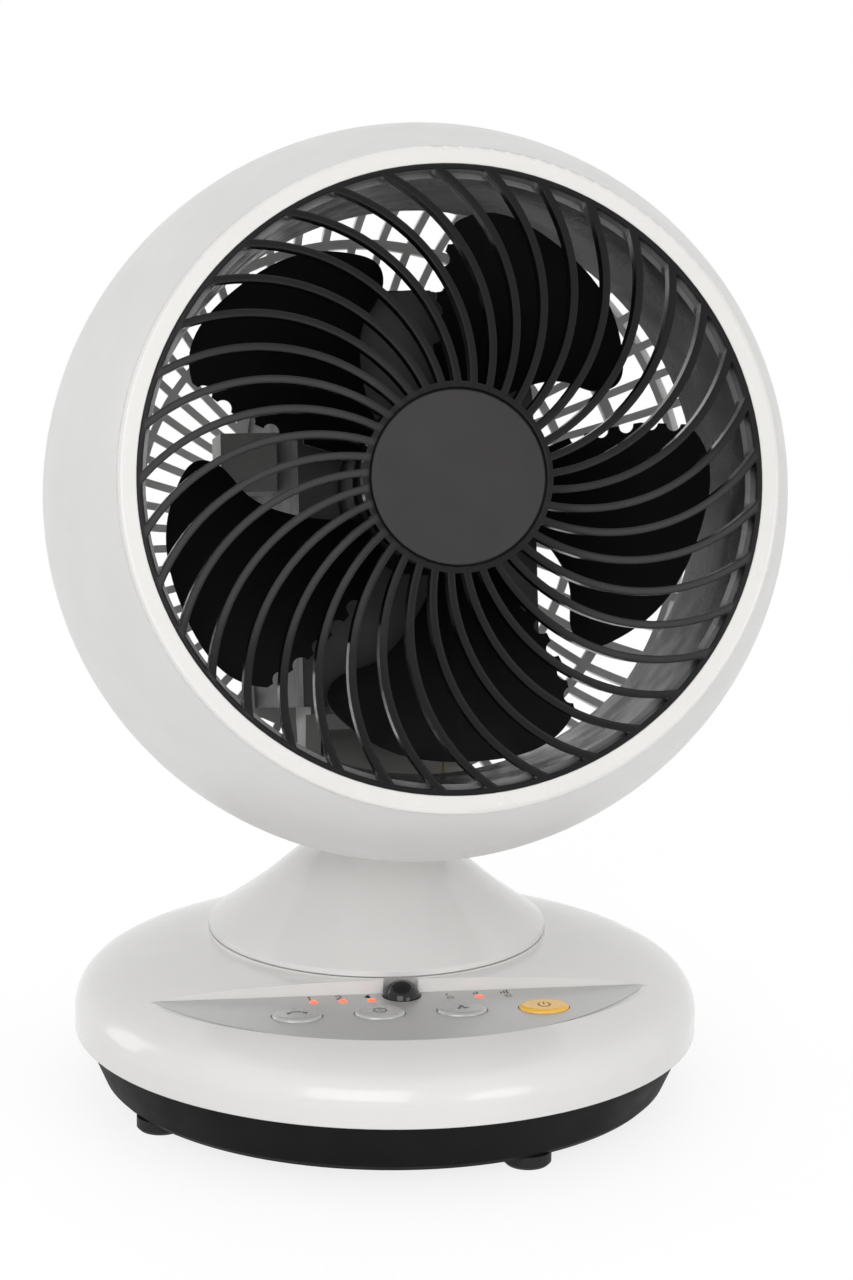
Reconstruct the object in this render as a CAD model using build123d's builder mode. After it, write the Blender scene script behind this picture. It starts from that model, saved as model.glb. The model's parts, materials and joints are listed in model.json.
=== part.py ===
"""Desk air circulator: a ball-shaped fan head that tilts and oscillates on a round base.

Millimetres, +Z up, front towards -Y. The pieces are drawn about the centre of the base, on the
floor. They are then moved so that the origin is the middle of the whole part's underside.
"""

import math
import os

from build123d import *

os.makedirs("parts", exist_ok=True)

# ---------------------------------------------------------------- general
WALL = 2.5
FIT = 0.05
GAP = 0.3
SEAT = 0.1
SCREW_R = 1.5
SCREW_HOLE_R = SCREW_R + FIT
SCREW_HEAD_R = 3.0
SCREW_HEAD_H = 2.4
SCREW_TIP_GAP = 1.0
HEAD_POCKET_R = SCREW_HEAD_R + GAP

# ---------------------------------------------------------------- base
BASE_R = 120.0
BASE_EQUATOR_Z = 21.3
BASE_CROWN = 34.4
CROWN_POWER = 2.65
CROWN_ROOT = 5.37
BASE_SIDE_Z = 33.0
BASE_RIM_Z = 26.0
TRAY_FLOOR_Z = 5.3
TRAY_TOP_Z = 25.5
TRAY_TOP_R = 117.0
TRAY_FLOOR_R = 109.0
TRAY_LIP_H = 5.5
TRAY_EDGE = 2.0
FOOT_CIRCLE_R = 99.5
FOOT_R = 9.0
FOOT_COUNT = 4
FOOT_PHASE = 24.0
FOOT_PEG_R = 3.0
FOOT_PEG_H = 4.0
FOOT_EDGE = 1.2
BASE_SCREW_CIRCLE_R = 98.0
BASE_SCREW_COUNT = 4
BASE_SCREW_PHASE = 45.0
BASE_BOSS_R = 5.0
BASE_BOSS_SPLIT_Z = 20.0
BASE_SCREW_SEAT = 5.0
BASE_SCREW_BITE = 12.0
WEIGHT_IN_R = 52.0
WEIGHT_OUT_R = 88.0
WEIGHT_T = 6.0
WEIGHT_ARC = 130.0
WEIGHT_SCREW_CIRCLE_R = 70.0
WEIGHT_SCREW_ANGLES = (225.0, 270.0, 315.0)
INLET_Z = 15.0
INLET_BODY_R = 5.0
INLET_FLANGE_R = 6.8
INLET_BORE_R = 3.4
INLET_FLANGE_T = 1.5
INLET_WALL_Y = 111.6
INLET_WALL_T = 4.0
INLET_BLOCK_W = 20.0
INLET_BLOCK_TOP_Z = 24.0
INLET_BLOCK_Y = 105.0

# ---------------------------------------------------------------- swivel in the base
NECK_Y = 27.0
PLATFORM_R = 66.2
PLATFORM_Z = 55.7
NECK_HOLE_R = 46.0
COLLAR_H = 5.5
DECK_Z = 43.0
DECK_T = 3.0
DECK_R = 40.0
COLUMN_R = 18.0
HUB_R = 14.0
HUB_BORE_R = 9.0
COLUMN_FOOT_R = 34.0
COLUMN_FOOT_T = 2.5
COLUMN_SCREW_CIRCLE_R = 29.0
COLUMN_SCREW_COUNT = 4
COLUMN_SCREW_PHASE = 45.0
FLOOR_SCREW_DEPTH = 1.5
RETAINER_R = 19.0
RETAINER_T = 3.0
RETAINER_BORE_R = 8.0
RETAINER_POCKET_H = 6.2
RETAINER_SCREW_CIRCLE_R = 11.5
RETAINER_SCREW_COUNT = 3
RETAINER_SCREW_PHASE = 90.0
RETAINER_SCREW_L = 8.0
WASHER_T = 1.2
WASHER_IN_R = 15.0
WASHER_OUT_R = 32.0
TABLE_T = 5.7
GEAR_MODULE = 1.5
TABLE_TEETH = 48
PINION_TEETH = 12
GEAR_FACE = 4.8
GEAR_BACKLASH = 0.25
GEAR_ROOT_DEPTH = 1.3
GEAR_TIP_HEIGHT = 0.95
PRESSURE_ANGLE = 20.0
PINION_BORE_R = 2.5
PINION_SHAFT_GAP = 2.0
OSC_MOTOR_R = 24.0
OSC_MOTOR_H = 20.0
OSC_EAR_PITCH = 29.0
OSC_EAR_R = 4.5
OSC_EAR_T = 1.5

# ---------------------------------------------------------------- neck and stem
NECK_FOOT_GAP = 0.4
NECK_FOOT_R = 65.8
NECK_FOOT_Z = PLATFORM_Z + NECK_FOOT_GAP
NECK_EDGE_H = 2.2
NECK_WALL = 2.5
NECK_CURVE = ((58.3, 63.6), (44.0, 74.6), (32.6, 84.6), (26.0, 89.8))
NECK_TOP_R = 21.5
NECK_TOP_Z = 94.5
NECK_BOSS_CIRCLE_R = 27.0
NECK_BOSS_R = 4.0
NECK_BOSS_COUNT = 3
NECK_BOSS_PHASE = 90.0
NECK_SCREW_L = 9.0
STEM_R = 14.0
STEM_BORE_R = 9.0
STEM_FLANGE_R = 21.0
STEM_FLANGE_T = 3.0
STEM_SCREW_CIRCLE_R = 17.5
STEM_SCREW_COUNT = 4
STEM_SCREW_PHASE = 45.0
KNUCKLE_W = 46.0
KNUCKLE_D = 26.0
KNUCKLE_FOOT_Z = 96.5
PIVOT_Z = 122.0
PIVOT_R = 4.0

# ---------------------------------------------------------------- fan head
TILT_REST = 15.0
PIVOT_DROP = 98.0
HEAD_R = 133.0
HEAD_MAX_S = 107.0
HEAD_FRONT_S = 204.0
HEAD_BACK_S = -52.0
SHELL_FRONT_R = 113.8
SHELL_FRONT_S = 200.6
SEAM_S = 100.0
REAR_ARC_R = 400.0
BACK_FILLET = 48.0
SHELL_SCREW_CIRCLE_R = 126.0
SHELL_SCREW_COUNT = 6
SHELL_SCREW_PHASE = -2.6
SHELL_BOSS_R = 5.0
SHELL_BOSS_L = 16.0
VENT_FRONT_S = 48.0
VENT_COUNT = 60
VENT_BAR_W = 3.0
VENT_SLANT = -10.0
VENT_RING_W = 3.0
VENT_RINGS = (57.0, 88.0, 107.0)
VENT_GIRDLE_S = 15.0
VENT_DEPTH = 30.0
VENT_PAD_W = 94.0
VENT_PAD_H = 160.0
SLOT_W = 51.0
SLOT_FRONT_S = 19.0
SLOT_BACK_S = -42.0
SLOT_TOP = 88.0
SLOT_BRIDGE_W = 64.0

# bezel, grille and duct
BEZEL_OUT_R = 113.6
BEZEL_IN_R = 107.3
SPIGOT_OUT_R = 110.7
BEZEL_EDGE = 1.5
DUCT_FLANGE_S = 194.5
DUCT_FLANGE_T = 2.0
DUCT_FRONT_R = 103.5
DUCT_REAR_R = 101.0
DUCT_REAR_S = 126.0
DUCT_WALL = 1.9
DUCT_SCREW_CIRCLE_R = 109.0
DUCT_SCREW_COUNT = 4
DUCT_SCREW_PHASE = 45.0
DUCT_SCREW_R = 1.0
DUCT_HEAD_R = 1.9
DUCT_HEAD_H = 1.6
DUCT_SCREW_L = 10.4
SHELF_T = 2.5
SHELF_BACK_S = 190.0
SHELF_IN_R = 105.8
RIM_OUT_R = 107.1
RIM_IN_R = 105.3
RIM_BACK_S = DUCT_FLANGE_S
RIB_COUNT = 37
RIB_W = 2.6
RIB_DEPTH = 7.0
RIB_SWEEP = 33.0
RIB_SAGITTA = 14.9
RIB_PHASE = 0.9
GRILLE_RISE = 12.0
GRILLE_HUB_R = 32.4
GRILLE_HUB_T = 7.5
CAP_R = 29.6
CAP_GROOVE = 0.7
CAP_T = 2.2
CAP_EDGE = 0.6

# impeller
BLADE_COUNT = 5
BLADE_T = 2.0
BLADE_LEAD = 34.0
BLADE_MID_S = 152.0
BLADE_MID_ANGLE = 131.0
BLADE_SHEET_HALF_ANGLE = 37.0
BLADE_SHEET_STEPS = 12
BLADE_ROOT_R = 24.0
BLADE_SHEET_R = 104.0
BLADE_TIP_R = 97.5
# Outline seen from the front: radius and angle ahead of the blade's middle.
BLADE_TRAILING = ((BLADE_ROOT_R, 30.0), (50.0, 31.5), (62.0, 30.5), (75.0, 29.0), (92.0, 25.5))
BLADE_TIP_ARC = ((BLADE_TIP_R, 19.0), (BLADE_TIP_R, 3.0))
BLADE_OUTER = ((93.5, -15.0), (87.5, -25.5))
BLADE_LEADING = ((81.0, -31.5), (75.0, -31.5), (64.0, -23.0), (50.0, -14.0), (BLADE_ROOT_R, 0.0))
NOTCHES = ((52.0, 31.4), (61.0, 30.6), (70.0, 29.6), (79.0, 28.4), (87.0, 26.7))
NOTCH_R = 2.9
HUB_OUT_R = 30.0
HUB_WALL = 2.5
HUB_BACK_S = 130.0
HUB_FRONT_S = 172.0
HUB_BOSS_R = 9.0
HUB_EDGE = 3.0
SPINNER_R = 12.0
SPINNER_T = 8.0
SPINNER_EDGE = 3.0

# motor and its housing
SHAFT_R = 4.0
SHAFT_BACK_S = 73.0
SHAFT_FRONT_S = 178.0
POD_W = 86.0
POD_BOTTOM = -76.0
POD_TOP = 73.0
POD_WALL = 2.5
POD_FRONT_S = 121.0
POD_PLATE_T = 3.0
POD_SCREW_X = 36.0
POD_SCREW_Y = 38.0
POD_BOSS_R = 5.0
POD_BOSS_L = 18.0
TOWER_W = 28.0
TOWER_TOP = 78.0
TOWER_BACK_S = 40.0
TOWER_FRONT_S = 72.0
CAN_R = 38.0
CAN_WALL = 1.5
CAN_BACK_S = 71.0
SHIELD_T = 4.0
SHIELD_LIP_T = 1.0
CAN_FRONT_S = POD_FRONT_S - POD_PLATE_T
BEARING_R = 11.0
BEARING_T = 7.0
BEARING_WALL = 1.5
BEARING_HOLE_GAP = 2.0
CORE_IN_R = 22.6
CORE_BACK_S = 86.0
CORE_FRONT_S = 108.0
ROTOR_R = 22.0
COIL_IN_R = 24.0
COIL_OUT_R = 33.5
COIL_OVERHANG = 4.5
MOTOR_SCREW_CIRCLE_R = 31.0
MOTOR_SCREW_COUNT = 4
MOTOR_SCREW_PHASE = 45.0
CAPACITOR_W = 21.0
CAPACITOR_H = 22.0
CAPACITOR_L = 32.0
CAPACITOR_BACK_S = 22.0
CAPACITOR_BOTTOM = 5.0

# tilt hinge
BRACKET_T = 3.0
BRACKET_FRONT_S = 34.0
BRACKET_BACK_S = -16.0
EAR_IN_X = KNUCKLE_W / 2 + 1.0
EAR_T = 6.0
EAR_R = 11.0
FRICTION_WASHER_R = 10.0
FRICTION_WASHER_T = 0.8
BOLT_HEAD_R = 7.0
BOLT_HEAD_H = 4.0
NUT_R = 7.5
NUT_H = 5.0

# ---------------------------------------------------------------- control panel
PANEL_CHORD_Y = -39.5
PANEL_FRONT_Y = -93.0
PANEL_HALF_CHORD = 94.0
PANEL_MARGIN = 2.0
PANEL_Z = 49.4
PANEL_FLOOR_T = 2.4
OVERLAY_T = 0.6
OVERLAY_TRIM_R = 101.0
BUTTON_NAMES = ("osc_button", "timer_button", "speed_button", "power_button")
BUTTON_PITCH = 31.0
BUTTON_CENTRE_X = 4.5
BUTTON_Y = -62.0
BUTTON_LENGTH = 19.0
BUTTON_DEPTH = 14.0
BUTTON_RISE = 1.9
BUTTON_ROUND = 1.6
BUTTON_TRAVEL = 0.8
BUTTON_FLANGE = 1.2
BUTTON_FLANGE_T = 1.1
PLUNGER_R = 2.5
PCB_T = 1.6
PCB_Z = 39.5
PCB_LENGTH = 112.0
PCB_FRONT_Y = -82.0
PCB_BACK_Y = -37.0
PCB_SCREW_X = 50.0
PCB_SCREW_Y = -42.5
PCB_SCREW_FRONT_Y = -74.0
PCB_SCREW_L = 5.0
SWITCH_SIZE = 6.0
SWITCH_H = 3.2
SWITCH_STEM_R = 1.75
SWITCH_STEM_H = 0.5
LED_R = 1.5
LED_Y = -47.0
LED_PITCH = 11.0
TIMER_LED_X = -34.0
SPEED_LED_X = 18.0
LED_RISE = 0.4
DOME_R = 7.2
DOME_WALL = 1.0
RECEIVER_W = 6.0
RECEIVER_H = 8.0
DOME_Y = -42.5
DOME_FLANGE_R = 8.6
DOME_FLANGE_T = 1.2
DOME_SINK = 0.8

# power supply board
SUPPLY_X = -62.0
SUPPLY_Y = 30.0
SUPPLY_L = 58.0
SUPPLY_W = 42.0
SUPPLY_Z = 14.0
SUPPLY_POST_R = 3.5
SUPPLY_POST_INSET = 4.5
SUPPLY_SCREW_L = 6.0
TRANSFORMER_W = 26.0
TRANSFORMER_D = 22.0
TRANSFORMER_H = 18.0

# ---------------------------------------------------------------- derived places
TRAY_TOP_INNER_Z = TRAY_FLOOR_Z + WALL
BASE_CENTRE = Axis.Z
NECK_AXIS = Axis((0, NECK_Y, 0), (0, 0, 1))
BASE_SECTION = Plane.XZ
NECK_SECTION = Plane(origin=(0, NECK_Y, 0), x_dir=(1, 0, 0), z_dir=(0, -1, 0))

TILT = math.radians(TILT_REST)
FORWARD = Vector(0, -math.cos(TILT), math.sin(TILT))
UPWARD = Vector(0, math.sin(TILT), math.cos(TILT))
RIGHT = Vector(1, 0, 0)
PIVOT = Vector(0, NECK_Y, PIVOT_Z)
HEAD_ORIGIN = PIVOT + UPWARD * PIVOT_DROP
HEAD = Plane(origin=HEAD_ORIGIN, x_dir=RIGHT, z_dir=FORWARD)
HEAD_SECTION = Plane(origin=HEAD_ORIGIN, x_dir=RIGHT, z_dir=-UPWARD)
HEAD_SIDE = Plane(origin=HEAD_ORIGIN, x_dir=FORWARD, z_dir=-RIGHT)
HEAD_AXIS = Axis(HEAD_ORIGIN, FORWARD)

PANEL_DEPTH = PANEL_CHORD_Y - PANEL_FRONT_Y
PANEL_ARC_R = (PANEL_HALF_CHORD**2 + PANEL_DEPTH**2) / (2 * PANEL_DEPTH)
PANEL_ARC_Y = PANEL_FRONT_Y + PANEL_ARC_R
PINION_X = GEAR_MODULE * (TABLE_TEETH + PINION_TEETH) / 2
TABLE_Z = DECK_Z + WASHER_T + SEAT
TABLE_TOP_Z = TABLE_Z + TABLE_T
GEAR_Z = TABLE_Z + (TABLE_T - GEAR_FACE) / 2
RETAINER_TOP_Z = TRAY_TOP_INNER_Z + RETAINER_POCKET_H - GAP
OSC_MOTOR_TOP_Z = DECK_Z - DECK_T
EAR_OUT_X = EAR_IN_X + EAR_T
# Circles of fasteners and feet: radius, count and the angle of the first.
BASE_SCREWS = (BASE_SCREW_CIRCLE_R, BASE_SCREW_COUNT, BASE_SCREW_PHASE)
FEET = (FOOT_CIRCLE_R, FOOT_COUNT, FOOT_PHASE)
COLUMN_SCREWS = (COLUMN_SCREW_CIRCLE_R, COLUMN_SCREW_COUNT, COLUMN_SCREW_PHASE)
RETAINER_SCREWS = (RETAINER_SCREW_CIRCLE_R, RETAINER_SCREW_COUNT, RETAINER_SCREW_PHASE)
NECK_BOSSES = (NECK_BOSS_CIRCLE_R, NECK_BOSS_COUNT, NECK_BOSS_PHASE)
STEM_SCREWS = (STEM_SCREW_CIRCLE_R, STEM_SCREW_COUNT, STEM_SCREW_PHASE)
SHELL_SCREWS = (SHELL_SCREW_CIRCLE_R, SHELL_SCREW_COUNT, SHELL_SCREW_PHASE)
DUCT_SCREWS = (DUCT_SCREW_CIRCLE_R, DUCT_SCREW_COUNT, DUCT_SCREW_PHASE)
MOTOR_SCREWS = (MOTOR_SCREW_CIRCLE_R, MOTOR_SCREW_COUNT, MOTOR_SCREW_PHASE)
PCB_SCREWS = [(x, y) for x in (-PCB_SCREW_X, PCB_SCREW_X) for y in (PCB_SCREW_Y, PCB_SCREW_FRONT_Y)]
BUTTON_XS = [
    BUTTON_CENTRE_X + (place - (len(BUTTON_NAMES) - 1) / 2) * BUTTON_PITCH
    for place in range(len(BUTTON_NAMES))
]
TIMER_LEDS = [(TIMER_LED_X + step * LED_PITCH, LED_Y) for step in range(3)]
SPEED_LEDS = [(SPEED_LED_X + step * LED_PITCH, LED_Y) for step in range(3)]
SUPPLY_SCREWS = [
    (SUPPLY_X + across * (SUPPLY_W / 2 - SUPPLY_POST_INSET),
     SUPPLY_Y + along * (SUPPLY_L / 2 - SUPPLY_POST_INSET))
    for across in (-1, 1)
    for along in (-1, 1)
]
WEIGHT_SCREWS = [
    (WEIGHT_SCREW_CIRCLE_R * math.cos(math.radians(angle)),
     WEIGHT_SCREW_CIRCLE_R * math.sin(math.radians(angle)))
    for angle in WEIGHT_SCREW_ANGLES
]


def level(z):
    """Horizontal plane at a height, centred on the base."""
    return Plane.XY.offset(z)


def neck_level(z):
    """Horizontal plane at a height, centred on the neck's axis."""
    return Plane(origin=(0, NECK_Y, z), x_dir=(1, 0, 0), z_dir=(0, 0, 1))


def pinion_level(z):
    """Horizontal plane at a height, centred on the drive pinion."""
    return Plane(origin=(PINION_X, NECK_Y, z), x_dir=(1, 0, 0), z_dir=(0, 0, 1))


def inlet_plane(y):
    """Upright plane across the cord inlet, facing backwards."""
    return Plane(origin=(0, y, INLET_Z), x_dir=(1, 0, 0), z_dir=(0, 1, 0))


def station(s):
    """Plane square to the fan's axis, a distance in front of the head's origin."""
    return HEAD.offset(s)


def crown_z(r, inset=0.0):
    """Height of the base's top surface at a radius."""
    share = 1 - (r / (BASE_R - inset)) ** CROWN_POWER
    return BASE_EQUATOR_Z + (BASE_CROWN - inset) * share ** (1 / CROWN_ROOT)


FRONT_ARC_R = (
    (SHELL_FRONT_S - HEAD_MAX_S) ** 2 + (HEAD_R - SHELL_FRONT_R) ** 2
) / (2 * (HEAD_R - SHELL_FRONT_R))


def front_radius(s, inset=0.0):
    """Radius of the head in front of its widest circle."""
    reach = math.sqrt((FRONT_ARC_R - inset) ** 2 - (s - HEAD_MAX_S) ** 2)
    return HEAD_R - FRONT_ARC_R + reach


def rear_radius(s, inset=0.0):
    """Radius of the head's side behind its widest circle."""
    reach = math.sqrt((REAR_ARC_R - inset) ** 2 - (s - HEAD_MAX_S) ** 2)
    return HEAD_R - REAR_ARC_R + reach


def base_body(inset):
    """Solid of the base's upper body, drawn in by an inset."""
    side_r = BASE_R - inset
    radii = [side_r * share for share in (0.35, 0.55, 0.72, 0.84, 0.92, 0.965, 0.99)]
    crown = [(r, crown_z(r, inset)) for r in radii]
    centre = (0, BASE_EQUATOR_Z + BASE_CROWN - inset)
    with BuildPart() as body:
        with BuildSketch(BASE_SECTION):
            with BuildLine():
                Spline(centre, *crown, (side_r, BASE_SIDE_Z), tangents=[(1, 0), (0, -1)])
                Line((side_r, BASE_SIDE_Z), (side_r, BASE_RIM_Z))
                Line((side_r, BASE_RIM_Z), (0, BASE_RIM_Z))
                Line((0, BASE_RIM_Z), centre)
            make_face()
        revolve(axis=BASE_CENTRE)
    return body.part


def rear_body(inset):
    """Solid of the head behind the seam, drawn in by an inset."""
    back_s = HEAD_BACK_S + inset
    mid_s = (back_s + SEAM_S) / 2
    corner = (rear_radius(back_s, inset), back_s)
    with BuildPart() as body:
        with BuildSketch(HEAD_SECTION) as outline:
            with BuildLine():
                ThreePointArc(
                    corner,
                    (rear_radius(mid_s, inset), mid_s),
                    (rear_radius(SEAM_S, inset), SEAM_S),
                )
                Line((rear_radius(SEAM_S, inset), SEAM_S), (0, SEAM_S))
                Line((0, SEAM_S), (0, back_s))
                Line((0, back_s), corner)
            make_face()
            bend = outline.vertices().sort_by_distance(corner)[0]
            fillet(bend, BACK_FILLET - inset)
        revolve(axis=HEAD_AXIS)
    return body.part


def gear_face(teeth, phase):
    """Spur gear outline with involute flanks, a tooth centred on the phase angle."""
    pitch_r = GEAR_MODULE * teeth / 2
    pressure = math.radians(PRESSURE_ANGLE)
    base_r = pitch_r * math.cos(pressure)
    tip_r = pitch_r + GEAR_MODULE * GEAR_TIP_HEIGHT
    root_r = pitch_r - GEAR_MODULE * GEAR_ROOT_DEPTH
    half_tooth = math.pi / (2 * teeth) - GEAR_BACKLASH / (4 * pitch_r)
    pitch_roll = math.tan(pressure) - pressure
    first_r = max(base_r, root_r)
    flank = []
    for step in range(5):
        r = first_r + (tip_r - first_r) * step / 4
        roll = math.acos(min(1.0, base_r / r))
        angle = half_tooth + pitch_roll - (math.tan(roll) - roll)
        flank.append((r, angle))
    flank.insert(0, (root_r - GEAR_MODULE / 2, flank[0][1]))
    upper = [(r * math.cos(a), r * math.sin(a)) for r, a in flank]
    lower = [(x, -y) for x, y in reversed(upper)]
    with BuildSketch() as gear:
        Circle(root_r)
        with PolarLocations(0, teeth, start_angle=phase):
            Polygon(*upper, *lower, align=None)
    return gear.sketch


# ================================================================ base body
outer_base = base_body(0)
inner_base = base_body(WALL)

with BuildPart() as base_top_shell:
    add(outer_base)
    add(inner_base, mode=Mode.SUBTRACT)
    # Floor and wall of the control recess, and the ring that carries the neck's platform.
    with BuildSketch(level(PANEL_Z - PANEL_FLOOR_T)):
        with Locations((0, PANEL_ARC_Y)):
            Circle(PANEL_ARC_R + PANEL_MARGIN + WALL)
        with Locations((0, PANEL_CHORD_Y + WALL)):
            Rectangle(2 * BASE_R, 2 * BASE_R, align=(Align.CENTER, Align.MIN), mode=Mode.SUBTRACT)
    extrude(amount=BASE_CROWN)
    with BuildSketch(neck_level(PLATFORM_Z - COLLAR_H)):
        Circle(PLATFORM_R)
    extrude(amount=COLLAR_H - WALL)
    with BuildSketch(level(BASE_BOSS_SPLIT_Z)):
        with PolarLocations(*BASE_SCREWS):
            Circle(BASE_BOSS_R)
    extrude(amount=BASE_CROWN)
    with BuildSketch(level(PCB_Z + PCB_T)):
        with Locations(*PCB_SCREWS):
            Circle(SCREW_HEAD_R)
    extrude(amount=PANEL_Z - PCB_Z - PCB_T - OVERLAY_T)
    # The outer skin trims what stands proud; the bosses and the platform then reach past it.
    add(outer_base, mode=Mode.INTERSECT)
    with BuildSketch(level(BASE_BOSS_SPLIT_Z)):
        with PolarLocations(*BASE_SCREWS):
            Circle(BASE_BOSS_R)
    extrude(amount=BASE_SIDE_Z - BASE_BOSS_SPLIT_Z)
    with BuildSketch(neck_level(PLATFORM_Z - COLLAR_H)):
        Circle(PLATFORM_R)
    extrude(amount=COLLAR_H)
    with BuildSketch(neck_level(BASE_RIM_Z)):
        Circle(NECK_HOLE_R)
    extrude(amount=BASE_R, mode=Mode.SUBTRACT)
    # Sunk crescent for the control panel.
    with BuildSketch(level(PANEL_Z)):
        with Locations((0, PANEL_ARC_Y)):
            Circle(PANEL_ARC_R + PANEL_MARGIN)
        with Locations((0, PANEL_CHORD_Y)):
            Rectangle(2 * BASE_R, 2 * BASE_R, align=(Align.CENTER, Align.MIN), mode=Mode.SUBTRACT)
    extrude(amount=BASE_CROWN, mode=Mode.SUBTRACT)
    # Windows for the buttons, the lamps and the receiver dome.
    with BuildSketch(level(PCB_Z)):
        with Locations(*[(x, BUTTON_Y) for x in BUTTON_XS]):
            Ellipse(BUTTON_LENGTH / 2 + GAP, BUTTON_DEPTH / 2 + GAP)
        with Locations(*TIMER_LEDS, *SPEED_LEDS):
            Circle(LED_R + FIT)
        with Locations((0, DOME_Y)):
            Circle(DOME_R + FIT)
    extrude(amount=BASE_R, mode=Mode.SUBTRACT)
    # Screw holes in the bosses.
    with BuildSketch(level(BASE_BOSS_SPLIT_Z)):
        with PolarLocations(*BASE_SCREWS):
            Circle(SCREW_HOLE_R)
    extrude(amount=BASE_SCREW_BITE + SCREW_TIP_GAP, mode=Mode.SUBTRACT)
    with BuildSketch(level(PCB_Z + PCB_T)):
        with Locations(*PCB_SCREWS):
            Circle(SCREW_HOLE_R)
    extrude(amount=PCB_SCREW_L, mode=Mode.SUBTRACT)

with BuildPart() as base_bottom_cover:
    with BuildSketch(BASE_SECTION):
        with BuildLine():
            Polyline(
                (0, TRAY_FLOOR_Z),
                (TRAY_FLOOR_R - TRAY_EDGE, TRAY_FLOOR_Z),
                (TRAY_FLOOR_R, TRAY_FLOOR_Z + TRAY_EDGE),
                (TRAY_TOP_R, TRAY_TOP_Z),
                (TRAY_TOP_R - GAP - WALL / 2, TRAY_TOP_Z),
                (TRAY_TOP_R - GAP - WALL / 2, TRAY_TOP_Z + TRAY_LIP_H),
                (TRAY_TOP_R - GAP - WALL, TRAY_TOP_Z + TRAY_LIP_H),
                (TRAY_TOP_R - GAP - WALL, TRAY_TOP_Z),
                (TRAY_FLOOR_R - WALL, TRAY_TOP_INNER_Z),
                (0, TRAY_TOP_INNER_Z),
                close=True,
            )
        make_face()
    revolve(axis=BASE_CENTRE)
    with BuildSketch(level(TRAY_FLOOR_Z)):
        with PolarLocations(*BASE_SCREWS):
            Circle(BASE_BOSS_R)
    extrude(amount=BASE_BOSS_SPLIT_Z - TRAY_FLOOR_Z)
    with BuildSketch(level(TRAY_FLOOR_Z)):
        with Locations(*SUPPLY_SCREWS):
            Circle(SUPPLY_POST_R)
    extrude(amount=SUPPLY_Z - TRAY_FLOOR_Z)
    with BuildSketch(level(TRAY_TOP_INNER_Z)):
        with Locations((0, INLET_BLOCK_Y)):
            Rectangle(
                INLET_BLOCK_W,
                INLET_WALL_Y + INLET_WALL_T - INLET_BLOCK_Y,
                align=(Align.CENTER, Align.MIN),
            )
    extrude(amount=INLET_BLOCK_TOP_Z - TRAY_TOP_INNER_Z)
    # Screw pockets from below, foot sockets and the cord inlet's hole.
    with BuildSketch(level(TRAY_FLOOR_Z)):
        with PolarLocations(*BASE_SCREWS):
            Circle(HEAD_POCKET_R)
    extrude(amount=BASE_BOSS_SPLIT_Z - TRAY_FLOOR_Z - BASE_SCREW_SEAT, mode=Mode.SUBTRACT)
    with BuildSketch(level(TRAY_FLOOR_Z)):
        with PolarLocations(*BASE_SCREWS):
            Circle(SCREW_HOLE_R)
        with PolarLocations(*FEET):
            Circle(FOOT_PEG_R + FIT)
    extrude(amount=BASE_BOSS_SPLIT_Z - TRAY_FLOOR_Z, mode=Mode.SUBTRACT)
    with BuildSketch(level(SUPPLY_Z - SUPPLY_SCREW_L)):
        with Locations(*SUPPLY_SCREWS):
            Circle(SCREW_HOLE_R)
    extrude(amount=SUPPLY_SCREW_L, mode=Mode.SUBTRACT)
    # Blind screw holes in the floor for the swivel column and the weight.
    with BuildSketch(neck_level(TRAY_TOP_INNER_Z - FLOOR_SCREW_DEPTH)):
        with PolarLocations(*COLUMN_SCREWS):
            Circle(SCREW_HOLE_R)
    extrude(amount=FLOOR_SCREW_DEPTH, mode=Mode.SUBTRACT)
    with BuildSketch(level(TRAY_TOP_INNER_Z - FLOOR_SCREW_DEPTH)):
        with Locations(*WEIGHT_SCREWS):
            Circle(SCREW_HOLE_R)
    extrude(amount=FLOOR_SCREW_DEPTH, mode=Mode.SUBTRACT)
    # Cord inlet: a bore through the block and a pocket behind it for the inner flange.
    with BuildSketch(inlet_plane(INLET_BLOCK_Y)):
        Circle(INLET_FLANGE_R + GAP)
    extrude(amount=INLET_WALL_Y - INLET_BLOCK_Y, mode=Mode.SUBTRACT)
    with BuildSketch(inlet_plane(INLET_WALL_Y)):
        Circle(INLET_BODY_R + FIT)
    extrude(amount=INLET_WALL_T, mode=Mode.SUBTRACT)

with BuildPart() as rubber_feet:
    with BuildSketch(level(0)):
        with PolarLocations(*FEET):
            Circle(FOOT_R)
    extrude(amount=TRAY_FLOOR_Z)
    chamfer(rubber_feet.edges().group_by(Axis.Z)[0], FOOT_EDGE)
    with BuildSketch(level(TRAY_FLOOR_Z)):
        with PolarLocations(*FEET):
            Circle(FOOT_PEG_R)
    extrude(amount=FOOT_PEG_H)

with BuildPart() as base_screws:
    head_z = BASE_BOSS_SPLIT_Z - BASE_SCREW_SEAT - SCREW_HEAD_H
    with BuildSketch(level(head_z)):
        with PolarLocations(*BASE_SCREWS):
            Circle(SCREW_HEAD_R)
    extrude(amount=SCREW_HEAD_H)
    with BuildSketch(level(head_z)):
        with PolarLocations(*BASE_SCREWS):
            Circle(SCREW_R)
    extrude(amount=SCREW_HEAD_H + BASE_SCREW_SEAT + BASE_SCREW_BITE)

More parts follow.
